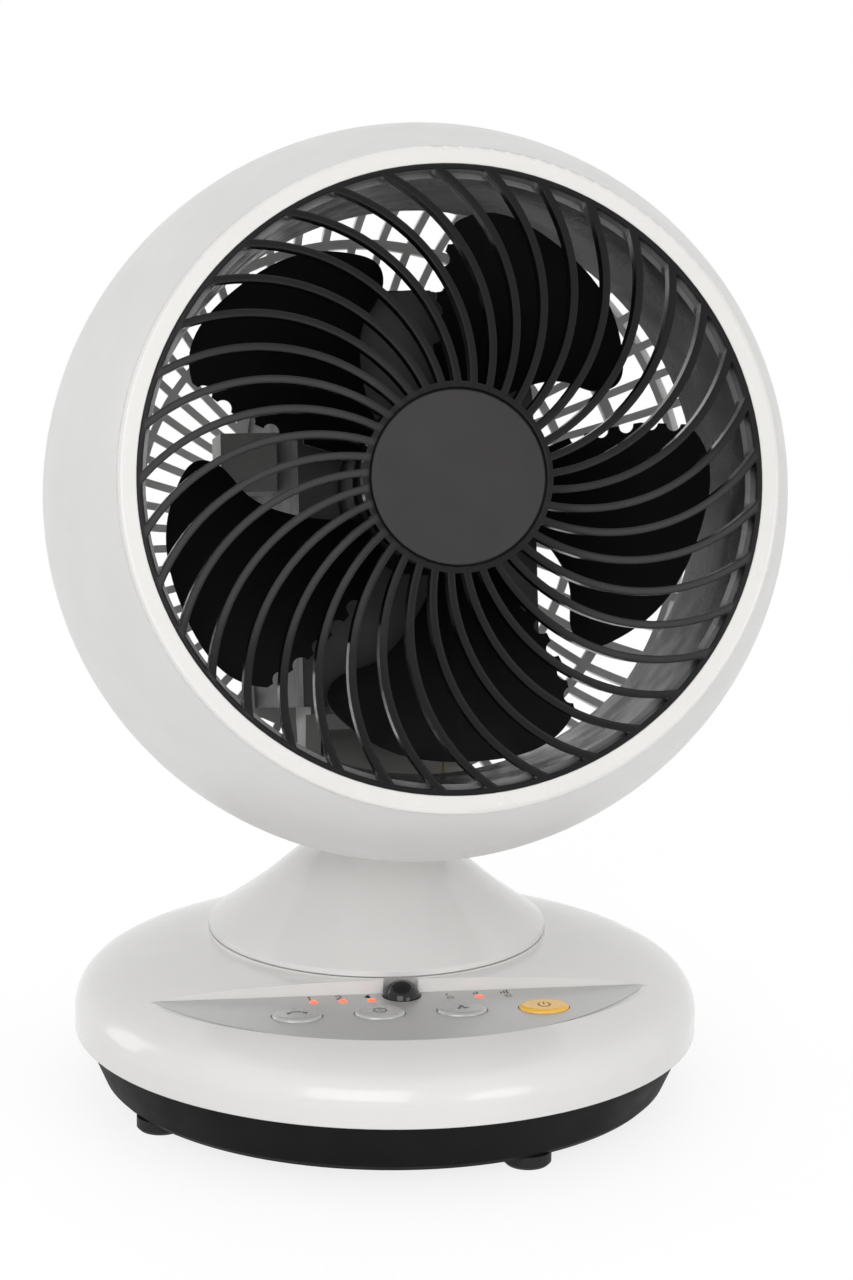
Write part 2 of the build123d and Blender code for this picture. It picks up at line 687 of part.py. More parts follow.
with BuildPart() as base_weight:
    with BuildSketch(level(TRAY_TOP_INNER_Z)):
        Circle(WEIGHT_OUT_R)
        Circle(WEIGHT_IN_R, mode=Mode.SUBTRACT)
        with BuildLine():
            half_gap = math.radians((360 - WEIGHT_ARC) / 2)
            reach = 2 * WEIGHT_OUT_R
            side_x = reach * math.sin(half_gap)
            side_y = reach * math.cos(half_gap)
            Polyline((0, 0), (side_x, side_y), (0, reach), (-side_x, side_y), close=True)
        make_face(mode=Mode.SUBTRACT)
        with Locations(*WEIGHT_SCREWS):
            Circle(SCREW_HOLE_R, mode=Mode.SUBTRACT)
    extrude(amount=WEIGHT_T)

with BuildPart() as cord_inlet:
    with BuildSketch(inlet_plane(INLET_WALL_Y - INLET_FLANGE_T)):
        Circle(INLET_FLANGE_R)
    extrude(amount=INLET_FLANGE_T)
    with BuildSketch(inlet_plane(INLET_WALL_Y)):
        Circle(INLET_BODY_R)
    extrude(amount=INLET_WALL_T)
    with BuildSketch(inlet_plane(INLET_WALL_Y + INLET_WALL_T)):
        Circle(INLET_FLANGE_R)
    extrude(amount=INLET_FLANGE_T)
    with BuildSketch(inlet_plane(INLET_WALL_Y - INLET_FLANGE_T)):
        Circle(INLET_BORE_R)
    extrude(amount=INLET_WALL_T + 2 * INLET_FLANGE_T, mode=Mode.SUBTRACT)

# ================================================================ swivel
with BuildPart() as swivel_housing:
    with BuildSketch(neck_level(TRAY_TOP_INNER_Z)):
        Circle(COLUMN_FOOT_R)
    extrude(amount=COLUMN_FOOT_T)
    with BuildSketch(neck_level(TRAY_TOP_INNER_Z)):
        Circle(RETAINER_R + WALL + GAP)
    extrude(amount=RETAINER_POCKET_H + WALL)
    with BuildSketch(neck_level(TRAY_TOP_INNER_Z)):
        Circle(COLUMN_R)
    extrude(amount=DECK_Z - TRAY_TOP_INNER_Z)
    with BuildSketch(neck_level(DECK_Z - DECK_T)):
        Circle(DECK_R)
        with Locations((PINION_X, 0)):
            Circle(OSC_EAR_PITCH + OSC_EAR_R)
    extrude(amount=DECK_T)
    with BuildSketch(neck_level(TRAY_TOP_INNER_Z)):
        Circle(RETAINER_R + GAP)
    extrude(amount=RETAINER_POCKET_H, mode=Mode.SUBTRACT)
    with BuildSketch(neck_level(TRAY_TOP_INNER_Z)):
        Circle(HUB_R + FIT)
        with PolarLocations(*COLUMN_SCREWS):
            Circle(SCREW_HOLE_R)
    extrude(amount=DECK_Z, mode=Mode.SUBTRACT)
    with BuildSketch(pinion_level(DECK_Z - DECK_T)):
        Circle(PINION_BORE_R + PINION_SHAFT_GAP)
        with GridLocations(0, 2 * OSC_EAR_PITCH, 1, 2):
            Circle(SCREW_HOLE_R)
    extrude(amount=DECK_T, mode=Mode.SUBTRACT)

with BuildPart() as thrust_washer:
    with BuildSketch(neck_level(DECK_Z)):
        Circle(WASHER_OUT_R)
        Circle(WASHER_IN_R, mode=Mode.SUBTRACT)
    extrude(amount=WASHER_T)

table_gear_face = gear_face(TABLE_TEETH, 360 / TABLE_TEETH / 2)
pinion_face = gear_face(PINION_TEETH, 180)

with BuildPart() as turntable:
    with BuildSketch(neck_level(GEAR_Z)):
        add(table_gear_face)
    extrude(amount=GEAR_FACE)
    with BuildSketch(neck_level(TABLE_Z)):
        Circle(WASHER_OUT_R)
    extrude(amount=TABLE_T)
    with BuildSketch(neck_level(RETAINER_TOP_Z)):
        Circle(HUB_R)
    extrude(amount=TABLE_Z - RETAINER_TOP_Z)
    with BuildSketch(neck_level(RETAINER_TOP_Z)):
        Circle(HUB_BORE_R)
    extrude(amount=TABLE_TOP_Z - RETAINER_TOP_Z, mode=Mode.SUBTRACT)
    with BuildSketch(neck_level(TABLE_Z)):
        with PolarLocations(*NECK_BOSSES):
            Circle(SCREW_HOLE_R)
        with PolarLocations(*STEM_SCREWS):
            Circle(SCREW_HOLE_R)
    extrude(amount=TABLE_T, mode=Mode.SUBTRACT)
    with BuildSketch(neck_level(TABLE_Z)):
        with PolarLocations(*NECK_BOSSES):
            Circle(HEAD_POCKET_R)
    extrude(amount=SCREW_HEAD_H + GAP, mode=Mode.SUBTRACT)
    with BuildSketch(neck_level(RETAINER_TOP_Z)):
        with PolarLocations(*RETAINER_SCREWS):
            Circle(SCREW_HOLE_R)
    extrude(amount=RETAINER_SCREW_L - RETAINER_T + GAP, mode=Mode.SUBTRACT)

with BuildPart() as turntable_retainer:
    with BuildSketch(neck_level(RETAINER_TOP_Z - RETAINER_T)):
        Circle(RETAINER_R)
        Circle(RETAINER_BORE_R, mode=Mode.SUBTRACT)
        with PolarLocations(*RETAINER_SCREWS):
            Circle(SCREW_HOLE_R, mode=Mode.SUBTRACT)
    extrude(amount=RETAINER_T)

with BuildPart() as drive_pinion:
    with BuildSketch(pinion_level(GEAR_Z)):
        add(pinion_face)
        Circle(PINION_BORE_R, mode=Mode.SUBTRACT)
    extrude(amount=GEAR_FACE)

with BuildPart() as oscillation_motor_shaft:
    with BuildSketch(pinion_level(DECK_Z - DECK_T - OSC_MOTOR_H / 2)):
        Circle(PINION_BORE_R)
    extrude(amount=GEAR_Z + GEAR_FACE - DECK_Z + DECK_T + OSC_MOTOR_H / 2)

with BuildPart() as oscillation_motor:
    with BuildSketch(pinion_level(OSC_MOTOR_TOP_Z - OSC_MOTOR_H)):
        Circle(OSC_MOTOR_R)
    extrude(amount=OSC_MOTOR_H)
    with BuildSketch(pinion_level(OSC_MOTOR_TOP_Z - OSC_EAR_T)):
        SlotOverall(2 * (OSC_EAR_PITCH + OSC_EAR_R), 2 * OSC_EAR_R, rotation=90)
    extrude(amount=OSC_EAR_T)
    with BuildSketch(pinion_level(OSC_MOTOR_TOP_Z - OSC_MOTOR_H / 2 - SEAT)):
        Circle(PINION_BORE_R + FIT)
    extrude(amount=OSC_MOTOR_H, mode=Mode.SUBTRACT)
    with BuildSketch(pinion_level(OSC_MOTOR_TOP_Z - OSC_EAR_T)):
        with GridLocations(0, 2 * OSC_EAR_PITCH, 1, 2):
            Circle(SCREW_HOLE_R)
    extrude(amount=OSC_EAR_T, mode=Mode.SUBTRACT)

# Identical screws that hold the fittings inside the base: column, weight, supply and motor.
with BuildPart() as chassis_screws:
    with BuildSketch(neck_level(TRAY_TOP_INNER_Z - FLOOR_SCREW_DEPTH + SEAT)):
        with PolarLocations(*COLUMN_SCREWS):
            Circle(SCREW_R)
    extrude(amount=FLOOR_SCREW_DEPTH - SEAT + COLUMN_FOOT_T)
    with BuildSketch(neck_level(TRAY_TOP_INNER_Z + COLUMN_FOOT_T)):
        with PolarLocations(*COLUMN_SCREWS):
            Circle(SCREW_HEAD_R)
    extrude(amount=SCREW_HEAD_H)
    with BuildSketch(level(TRAY_TOP_INNER_Z - FLOOR_SCREW_DEPTH + SEAT)):
        with Locations(*WEIGHT_SCREWS):
            Circle(SCREW_R)
    extrude(amount=FLOOR_SCREW_DEPTH - SEAT + WEIGHT_T)
    with BuildSketch(level(TRAY_TOP_INNER_Z + WEIGHT_T)):
        with Locations(*WEIGHT_SCREWS):
            Circle(SCREW_HEAD_R)
    extrude(amount=SCREW_HEAD_H)
    with BuildSketch(level(SUPPLY_Z - SUPPLY_SCREW_L + SEAT)):
        with Locations(*SUPPLY_SCREWS):
            Circle(SCREW_R)
    extrude(amount=SUPPLY_SCREW_L - SEAT + PCB_T)
    with BuildSketch(level(SUPPLY_Z + PCB_T)):
        with Locations(*SUPPLY_SCREWS):
            Circle(SCREW_HEAD_R)
    extrude(amount=SCREW_HEAD_H)
    with BuildSketch(pinion_level(OSC_MOTOR_TOP_Z - OSC_EAR_T - SCREW_HEAD_H)):
        with GridLocations(0, 2 * OSC_EAR_PITCH, 1, 2):
            Circle(SCREW_HEAD_R)
    extrude(amount=SCREW_HEAD_H)
    with BuildSketch(pinion_level(OSC_MOTOR_TOP_Z - OSC_EAR_T)):
        with GridLocations(0, 2 * OSC_EAR_PITCH, 1, 2):
            Circle(SCREW_R)
    extrude(amount=OSC_EAR_T + DECK_T)

# ================================================================ neck and stem
neck_outer = [(NECK_FOOT_R, NECK_FOOT_Z + NECK_EDGE_H), *NECK_CURVE, (NECK_TOP_R, NECK_TOP_Z)]
neck_inner = [(r - NECK_WALL, z - NECK_WALL / 2) for r, z in neck_outer]
with BuildPart() as neck_shell:
    with BuildSketch(NECK_SECTION):
        with BuildLine():
            Line((NECK_FOOT_R, NECK_FOOT_Z), neck_outer[0])
            Spline(*neck_outer)
            Line(neck_outer[-1], (neck_inner[-1][0], NECK_TOP_Z))
            Line((neck_inner[-1][0], NECK_TOP_Z), neck_inner[-1])
            Spline(*reversed(neck_inner))
            Line(neck_inner[0], (neck_inner[0][0], NECK_FOOT_Z))
            Line((neck_inner[0][0], NECK_FOOT_Z), (NECK_FOOT_R, NECK_FOOT_Z))
        make_face()
    revolve(axis=NECK_AXIS)
    with BuildSketch(neck_level(TABLE_TOP_Z)):
        with PolarLocations(*NECK_BOSSES):
            Circle(NECK_BOSS_R)
    extrude(until=Until.NEXT)
    with BuildSketch(neck_level(NECK_TOP_Z - NECK_WALL)):
        Circle(NECK_TOP_R)
        Circle(STEM_R + GAP, mode=Mode.SUBTRACT)
    extrude(amount=NECK_WALL)
    with BuildSketch(neck_level(TABLE_TOP_Z)):
        with PolarLocations(*NECK_BOSSES):
            Circle(SCREW_HOLE_R)
    extrude(amount=NECK_SCREW_L + WALL, mode=Mode.SUBTRACT)

with BuildPart() as tilt_stem:
    with BuildSketch(neck_level(TABLE_TOP_Z)):
        Circle(STEM_FLANGE_R)
    extrude(amount=STEM_FLANGE_T)
    with BuildSketch(neck_level(TABLE_TOP_Z)):
        Circle(STEM_R)
    extrude(amount=KNUCKLE_FOOT_Z - TABLE_TOP_Z)
    with BuildSketch(Plane(origin=(0, NECK_Y, 0), x_dir=(0, 1, 0), z_dir=(1, 0, 0))):
        with Locations((0, PIVOT_Z)):
            Circle(KNUCKLE_D / 2)
        with Locations((0, KNUCKLE_FOOT_Z)):
            Rectangle(KNUCKLE_D, PIVOT_Z - KNUCKLE_FOOT_Z, align=(Align.CENTER, Align.MIN))
    extrude(amount=KNUCKLE_W / 2, both=True)
    with BuildSketch(neck_level(TABLE_TOP_Z)):
        Circle(STEM_BORE_R)
    extrude(amount=PIVOT_Z - KNUCKLE_D / 2 - TABLE_TOP_Z, mode=Mode.SUBTRACT)
    with BuildSketch(neck_level(TABLE_TOP_Z)):
        with PolarLocations(*STEM_SCREWS):
            Circle(SCREW_HOLE_R)
    extrude(amount=STEM_FLANGE_T, mode=Mode.SUBTRACT)
    with BuildSketch(Plane(origin=(0, NECK_Y, PIVOT_Z), x_dir=(0, 1, 0), z_dir=(1, 0, 0))):
        Circle(PIVOT_R + FIT)
    extrude(amount=KNUCKLE_W, both=True, mode=Mode.SUBTRACT)

# Identical screws of the swivelling body: neck cover, stem foot and retainer.
with BuildPart() as turntable_screws:
    with BuildSketch(neck_level(TABLE_Z + GAP)):
        with PolarLocations(*NECK_BOSSES):
            Circle(SCREW_HEAD_R)
    extrude(amount=SCREW_HEAD_H)
    with BuildSketch(neck_level(TABLE_Z + GAP)):
        with PolarLocations(*NECK_BOSSES):
            Circle(SCREW_R)
    extrude(amount=TABLE_T + NECK_SCREW_L)
    with BuildSketch(neck_level(TABLE_TOP_Z + STEM_FLANGE_T)):
        with PolarLocations(*STEM_SCREWS):
            Circle(SCREW_HEAD_R)
    extrude(amount=SCREW_HEAD_H)
    with BuildSketch(neck_level(TABLE_Z + GAP)):
        with PolarLocations(*STEM_SCREWS):
            Circle(SCREW_R)
    extrude(amount=TABLE_T + STEM_FLANGE_T - GAP)
    with BuildSketch(neck_level(RETAINER_TOP_Z - RETAINER_T - SCREW_HEAD_H)):
        with PolarLocations(*RETAINER_SCREWS):
            Circle(SCREW_HEAD_R)
    extrude(amount=SCREW_HEAD_H)
    with BuildSketch(neck_level(RETAINER_TOP_Z - RETAINER_T)):
        with PolarLocations(*RETAINER_SCREWS):
            Circle(SCREW_R)
    extrude(amount=RETAINER_SCREW_L)

# ================================================================ tilt hinge on the head
bracket_top = POD_BOTTOM - BRACKET_T
with BuildPart() as tilt_bracket:
    with BuildSketch(station(BRACKET_BACK_S)):
        with Locations((0, bracket_top)):
            Rectangle(2 * (EAR_IN_X + EAR_T), BRACKET_T, align=(Align.CENTER, Align.MIN))
    extrude(amount=BRACKET_FRONT_S - BRACKET_BACK_S)
    for side in (-1, 1):
        ear_plane = Plane(
            origin=HEAD_ORIGIN + RIGHT * (side * EAR_IN_X), x_dir=FORWARD, z_dir=-RIGHT
        )
        with BuildSketch(ear_plane):
            with Locations((0, -PIVOT_DROP)):
                Circle(EAR_R)
            Polygon(
                (-EAR_R, -PIVOT_DROP),
                (EAR_R, -PIVOT_DROP),
                (BRACKET_FRONT_S / 2, bracket_top),
                (BRACKET_BACK_S, bracket_top),
                align=None,
            )
        extrude(amount=-side * EAR_T)
    with BuildSketch(Plane(origin=PIVOT, x_dir=FORWARD, z_dir=-RIGHT)):
        Circle(PIVOT_R + FIT)
    extrude(amount=2 * KNUCKLE_W, both=True, mode=Mode.SUBTRACT)

with BuildPart() as friction_washers:
    for side in (-1, 1):
        washer_x = side * (KNUCKLE_W / 2 + SEAT)
        with BuildSketch(Plane(origin=PIVOT + RIGHT * washer_x, x_dir=FORWARD, z_dir=-RIGHT)):
            Circle(FRICTION_WASHER_R)
            Circle(PIVOT_R + FIT, mode=Mode.SUBTRACT)
        extrude(amount=-side * FRICTION_WASHER_T)

with BuildPart() as tilt_pivot_bolt:
    with BuildSketch(Plane(origin=PIVOT - RIGHT * EAR_OUT_X, x_dir=FORWARD, z_dir=RIGHT)):
        Circle(PIVOT_R)
    extrude(amount=2 * EAR_OUT_X + NUT_H)
    with BuildSketch(Plane(origin=PIVOT - RIGHT * EAR_OUT_X, x_dir=FORWARD, z_dir=-RIGHT)):
        Circle(BOLT_HEAD_R)
    extrude(amount=BOLT_HEAD_H)

with BuildPart() as tilt_pivot_nut:
    with BuildSketch(Plane(origin=PIVOT + RIGHT * EAR_OUT_X, x_dir=FORWARD, z_dir=RIGHT)):
        RegularPolygon(NUT_R, 6)
        Circle(PIVOT_R + FIT, mode=Mode.SUBTRACT)
    extrude(amount=NUT_H)

# ================================================================ control panel
with BuildPart() as control_panel_overlay:
    with BuildSketch(level(PANEL_Z)):
        with Locations((0, PANEL_ARC_Y)):
            Circle(PANEL_ARC_R)
        with Locations((0, PANEL_CHORD_Y - GAP)):
            Rectangle(2 * BASE_R, 2 * BASE_R, align=(Align.CENTER, Align.MIN), mode=Mode.SUBTRACT)
        Circle(OVERLAY_TRIM_R, mode=Mode.INTERSECT)
        with Locations(*[(x, BUTTON_Y) for x in BUTTON_XS]):
            Ellipse(BUTTON_LENGTH / 2 + GAP, BUTTON_DEPTH / 2 + GAP, mode=Mode.SUBTRACT)
        with Locations(*TIMER_LEDS, *SPEED_LEDS):
            Circle(LED_R + FIT, mode=Mode.SUBTRACT)
        with Locations((0, DOME_Y)):
            Circle(DOME_R + GAP, mode=Mode.SUBTRACT)
    extrude(amount=OVERLAY_T)

PANEL_UNDERSIDE_Z = PANEL_Z - PANEL_FLOOR_T
with BuildPart() as ir_receiver_dome:
    with BuildSketch(Plane(origin=(0, DOME_Y, 0), x_dir=(1, 0, 0), z_dir=(0, -1, 0))):
        with Locations((0, PANEL_Z - DOME_SINK)):
            Circle(DOME_R)
            Circle(DOME_R - DOME_WALL, mode=Mode.SUBTRACT)
        with Locations((0, PANEL_Z - DOME_SINK)):
            Rectangle(2 * DOME_R, DOME_R, align=(Align.CENTER, Align.MAX), mode=Mode.SUBTRACT)
        with Locations(((DOME_R - DOME_WALL), PANEL_UNDERSIDE_Z - DOME_FLANGE_T)):
            Rectangle(
                DOME_WALL,
                PANEL_Z - DOME_SINK - PANEL_UNDERSIDE_Z + DOME_FLANGE_T,
                align=(Align.MIN, Align.MIN),
            )
            Rectangle(DOME_FLANGE_R - DOME_R + DOME_WALL, DOME_FLANGE_T, align=(Align.MIN, Align.MIN))
        with Locations((0, PANEL_Z)):
            Rectangle(BASE_R, BASE_R, align=(Align.MAX, Align.CENTER), mode=Mode.SUBTRACT)
    revolve(axis=Axis((0, DOME_Y, 0), (0, 0, 1)))

PCB_TOP_Z = PCB_Z + PCB_T
with BuildPart() as ir_receiver:
    with BuildSketch(level(PCB_TOP_Z)):
        with Locations((0, DOME_Y)):
            Rectangle(RECEIVER_W, RECEIVER_W)
    extrude(amount=RECEIVER_H)


def led_group(places):
    """Indicator lamps standing on the control board, their domed tips just proud of the panel."""
    with BuildPart() as lamps:
        with BuildSketch(level(PCB_TOP_Z)):
            with Locations(*places):
                Circle(LED_R)
        extrude(amount=PANEL_Z + OVERLAY_T + LED_RISE - PCB_TOP_Z)
        fillet(lamps.edges().group_by(Axis.Z)[-1], LED_RISE)
    return lamps.part


with BuildPart() as timer_leds:
    add(led_group(TIMER_LEDS))

with BuildPart() as medium_speed_led:
    add(led_group(SPEED_LEDS[1:2]))

with BuildPart() as idle_speed_leds:
    add(led_group(SPEED_LEDS[::2]))

with BuildPart() as control_board:
    with BuildSketch(level(PCB_Z)):
        with Locations((0, PCB_BACK_Y)):
            Rectangle(PCB_LENGTH, PCB_BACK_Y - PCB_FRONT_Y, align=(Align.CENTER, Align.MAX))
        with Locations(*PCB_SCREWS):
            Circle(SCREW_HOLE_R, mode=Mode.SUBTRACT)
    extrude(amount=PCB_T)

with BuildPart() as control_board_screws:
    with BuildSketch(level(PCB_Z - SCREW_HEAD_H)):
        with Locations(*PCB_SCREWS):
            Circle(SCREW_HEAD_R)
    extrude(amount=SCREW_HEAD_H)
    with BuildSketch(level(PCB_Z)):
        with Locations(*PCB_SCREWS):
            Circle(SCREW_R)
    extrude(amount=PCB_T + PCB_SCREW_L - GAP)

with BuildPart() as tact_switches:
    with BuildSketch(level(PCB_TOP_Z)):
        with Locations(*[(x, BUTTON_Y) for x in BUTTON_XS]):
            Rectangle(SWITCH_SIZE, SWITCH_SIZE)
    extrude(amount=SWITCH_H)
    with BuildSketch(level(PCB_TOP_Z + SWITCH_H)):
        with Locations(*[(x, BUTTON_Y) for x in BUTTON_XS]):
            Circle(SWITCH_STEM_R)
    extrude(amount=SWITCH_STEM_H)


def push_button(x):
    """Oval domed key held under the panel floor by its flange."""
    flange_z = PANEL_UNDERSIDE_Z - GAP - BUTTON_FLANGE_T
    with BuildPart() as key:
        with BuildSketch(level(flange_z)):
            with Locations((x, BUTTON_Y)):
                Ellipse(BUTTON_LENGTH / 2, BUTTON_DEPTH / 2)
        extrude(amount=PANEL_Z + BUTTON_RISE - flange_z)
        fillet(key.edges().group_by(Axis.Z)[-1], BUTTON_ROUND)
        with BuildSketch(level(flange_z)):
            with Locations((x, BUTTON_Y)):
                Ellipse(BUTTON_LENGTH / 2 + BUTTON_FLANGE, BUTTON_DEPTH / 2 + BUTTON_FLANGE)
        extrude(amount=BUTTON_FLANGE_T)
        switch_top = PCB_TOP_Z + SWITCH_H + SWITCH_STEM_H
        with BuildSketch(level(switch_top + BUTTON_TRAVEL + SEAT)):
            with Locations((x, BUTTON_Y)):
                Circle(PLUNGER_R)
        extrude(amount=flange_z - switch_top - BUTTON_TRAVEL - SEAT)
    return key.part


buttons = [push_button(x) for x in BUTTON_XS]

# ================================================================ power supply
with BuildPart() as power_supply_board:
    with BuildSketch(level(SUPPLY_Z)):
        with Locations((SUPPLY_X, SUPPLY_Y)):
            Rectangle(SUPPLY_W, SUPPLY_L)
        with Locations(*SUPPLY_SCREWS):
            Circle(SCREW_HOLE_R, mode=Mode.SUBTRACT)
    extrude(amount=PCB_T)

with BuildPart() as transformer:
    with BuildSketch(level(SUPPLY_Z + PCB_T)):
        with Locations((SUPPLY_X, SUPPLY_Y)):
            Rectangle(TRANSFORMER_W, TRANSFORMER_D)
    extrude(amount=TRANSFORMER_H)

# ================================================================ head shells


def shell_body(inset):
    """Solid of the head in front of the seam, drawn in by an inset."""
    mid_back_s = (SEAM_S + HEAD_MAX_S) / 2
    mid_front_s = (HEAD_MAX_S + SHELL_FRONT_S) / 2
    with BuildPart() as body:
        with BuildSketch(HEAD_SECTION):
            with BuildLine():
                ThreePointArc(
                    (rear_radius(SEAM_S, inset), SEAM_S),
                    (rear_radius(mid_back_s, inset), mid_back_s),
                    (HEAD_R - inset, HEAD_MAX_S),
                )
                ThreePointArc(
                    (HEAD_R - inset, HEAD_MAX_S),
                    (front_radius(mid_front_s, inset), mid_front_s),
                    (front_radius(SHELL_FRONT_S, inset), SHELL_FRONT_S),
                )
                Line((front_radius(SHELL_FRONT_S, inset), SHELL_FRONT_S), (0, SHELL_FRONT_S))
                Line((0, SHELL_FRONT_S), (0, SEAM_S))
                Line((0, SEAM_S), (rear_radius(SEAM_S, inset), SEAM_S))
            make_face()
        revolve(axis=HEAD_AXIS)
    return body.part


def seam_bosses(back_s, body):
    """Screw bosses at the seam, grown into the wall as far as a body reaches."""
    with BuildPart() as bosses:
        with BuildSketch(station(back_s)):
            with PolarLocations(*SHELL_SCREWS):
                Circle(SHELL_BOSS_R)
        extrude(amount=SHELL_BOSS_L)
        add(body, mode=Mode.INTERSECT)
    return bosses.part


def vent_bars(width, inner_r, reach):
    """Slanted bars of the rear vent, seen along the fan's axis."""
    with BuildSketch() as bars:
        with PolarLocations(inner_r, VENT_COUNT):
            Rectangle(reach, width, rotation=VENT_SLANT, align=(Align.MIN, Align.CENTER))
    return bars.sketch


def vent_zone(inner_r, outer_r):
    """Openings of one ring of the rear vent, clear of the pod's pad and the stem's bridge."""
    with BuildSketch() as zone:
        Circle(outer_r)
        Circle(inner_r, mode=Mode.SUBTRACT)
        Rectangle(VENT_PAD_W, VENT_PAD_H, mode=Mode.SUBTRACT)
        Rectangle(
            SLOT_BRIDGE_W, 2 * HEAD_R, align=(Align.CENTER, Align.MAX), mode=Mode.SUBTRACT
        )
        add(bars_seen, mode=Mode.SUBTRACT)
    return zone.sketch


bars_seen = vent_bars(VENT_BAR_W, VENT_RINGS[0] - 2 * VENT_RING_W, HEAD_R)
inner_zones = [
    vent_zone(VENT_RINGS[0], VENT_RINGS[1] - VENT_RING_W / 2),
    vent_zone(VENT_RINGS[1] + VENT_RING_W / 2, VENT_RINGS[2] - VENT_RING_W / 2),
]
outer_zone = vent_zone(VENT_RINGS[2] + VENT_RING_W / 2, HEAD_R + WALL)

with BuildPart() as rear_shell:
    add(rear_body(0))
    add(rear_body(WALL), mode=Mode.SUBTRACT)
    with BuildSketch(station(HEAD_BACK_S - WALL)):
        for zone in inner_zones:
            add(zone)
    extrude(amount=VENT_DEPTH, mode=Mode.SUBTRACT)
    with BuildSketch(station(HEAD_BACK_S - WALL)):
        add(outer_zone)
    extrude(amount=VENT_GIRDLE_S - HEAD_BACK_S - VENT_RING_W / 2, mode=Mode.SUBTRACT)
    with BuildSketch(station(VENT_GIRDLE_S + VENT_RING_W / 2)):
        add(outer_zone)
    extrude(amount=VENT_FRONT_S - VENT_GIRDLE_S - VENT_RING_W / 2, mode=Mode.SUBTRACT)
    add(seam_bosses(SEAM_S - SHELL_BOSS_L, rear_body(WALL / 2)))
    with BuildSketch(station(SEAM_S - SHELL_BOSS_L)):
        with PolarLocations(*SHELL_SCREWS):
            Circle(SCREW_HOLE_R)
    extrude(amount=SHELL_BOSS_L, mode=Mode.SUBTRACT)
    # Slot for the stem, and the holes of the motor housing's screws.
    with BuildSketch(HEAD_SIDE):
        with Locations(((SLOT_FRONT_S + SLOT_BACK_S) / 2, -SLOT_TOP)):
            Rectangle(SLOT_FRONT_S - SLOT_BACK_S, HEAD_R, align=(Align.CENTER, Align.MAX))
    extrude(amount=SLOT_W / 2, both=True, mode=Mode.SUBTRACT)
    with BuildSketch(station(HEAD_BACK_S)):
        with GridLocations(2 * POD_SCREW_X, 2 * POD_SCREW_Y, 2, 2):
            Circle(SCREW_HOLE_R)
    extrude(amount=WALL, mode=Mode.SUBTRACT)

with BuildPart() as front_shell:
    add(shell_body(0))
    add(shell_body(WALL), mode=Mode.SUBTRACT)
    with BuildSketch(station(SHELF_BACK_S)):
        Circle(front_radius(SHELF_BACK_S + SHELF_T, WALL / 2))
    extrude(amount=SHELF_T)
    add(seam_bosses(SEAM_S, shell_body(WALL / 2)))
    with BuildSketch(station(SHELF_BACK_S)):
        Circle(SHELF_IN_R)
        with PolarLocations(*DUCT_SCREWS):
            Circle(DUCT_SCREW_R + FIT)
    extrude(amount=SHELF_T, mode=Mode.SUBTRACT)
    with BuildSketch(station(SEAM_S)):
        with PolarLocations(*SHELL_SCREWS):
            Circle(SCREW_HOLE_R)
    extrude(amount=SHELL_BOSS_L - WALL, mode=Mode.SUBTRACT)

# Identical screws that join the head's shells and hold the motor housing.
with BuildPart() as shell_screws:
    with BuildSketch(station(SEAM_S - SHELL_BOSS_L - SCREW_HEAD_H)):
        with PolarLocations(*SHELL_SCREWS):
            Circle(SCREW_HEAD_R)
    extrude(amount=SCREW_HEAD_H)
    with BuildSketch(station(SEAM_S - SHELL_BOSS_L)):
        with PolarLocations(*SHELL_SCREWS):
            Circle(SCREW_R)
    extrude(amount=2 * SHELL_BOSS_L - WALL - GAP)

with BuildPart() as pod_screws:
    with BuildSketch(station(HEAD_BACK_S - SCREW_HEAD_H)):
        with GridLocations(2 * POD_SCREW_X, 2 * POD_SCREW_Y, 2, 2):
            Circle(SCREW_HEAD_R)
    extrude(amount=SCREW_HEAD_H)
    with BuildSketch(station(HEAD_BACK_S)):
        with GridLocations(2 * POD_SCREW_X, 2 * POD_SCREW_Y, 2, 2):
            Circle(SCREW_R)
    extrude(amount=WALL + POD_BOSS_L - WALL)

# ================================================================ bezel, duct and grille
with BuildPart() as bezel_ring:
    with BuildSketch(station(SHELL_FRONT_S)):
        Circle(BEZEL_OUT_R)
    extrude(amount=HEAD_FRONT_S - SHELL_FRONT_S)
    fillet(bezel_ring.edges().sort_by(HEAD_AXIS)[-1], BEZEL_EDGE)
    with BuildSketch(station(DUCT_FLANGE_S)):
        Circle(SPIGOT_OUT_R)
    extrude(amount=SHELL_FRONT_S - DUCT_FLANGE_S)
    with BuildSketch(station(DUCT_FLANGE_S)):
        Circle(BEZEL_IN_R)
    extrude(amount=HEAD_FRONT_S - DUCT_FLANGE_S, mode=Mode.SUBTRACT)
    with BuildSketch(station(DUCT_FLANGE_S)):
        with PolarLocations(*DUCT_SCREWS):
            Circle(DUCT_SCREW_R + FIT)
    extrude(amount=SHELL_FRONT_S - DUCT_FLANGE_S + GAP, mode=Mode.SUBTRACT)

duct_flange_back = DUCT_FLANGE_S - DUCT_FLANGE_T
with BuildPart() as air_duct:
    with BuildSketch(HEAD_SECTION):
        Polygon(
            (DUCT_FRONT_R, DUCT_FLANGE_S),
            (DUCT_REAR_R, DUCT_REAR_S),
            (DUCT_REAR_R + DUCT_WALL, DUCT_REAR_S),
            (DUCT_FRONT_R + DUCT_WALL, duct_flange_back),
            (SPIGOT_OUT_R, duct_flange_back),
            (SPIGOT_OUT_R, DUCT_FLANGE_S),
            align=None,
        )
    revolve(axis=HEAD_AXIS)
    with BuildSketch(station(duct_flange_back)):
        with PolarLocations(*DUCT_SCREWS):
            Circle(DUCT_SCREW_R + FIT)
    extrude(amount=DUCT_FLANGE_T, mode=Mode.SUBTRACT)

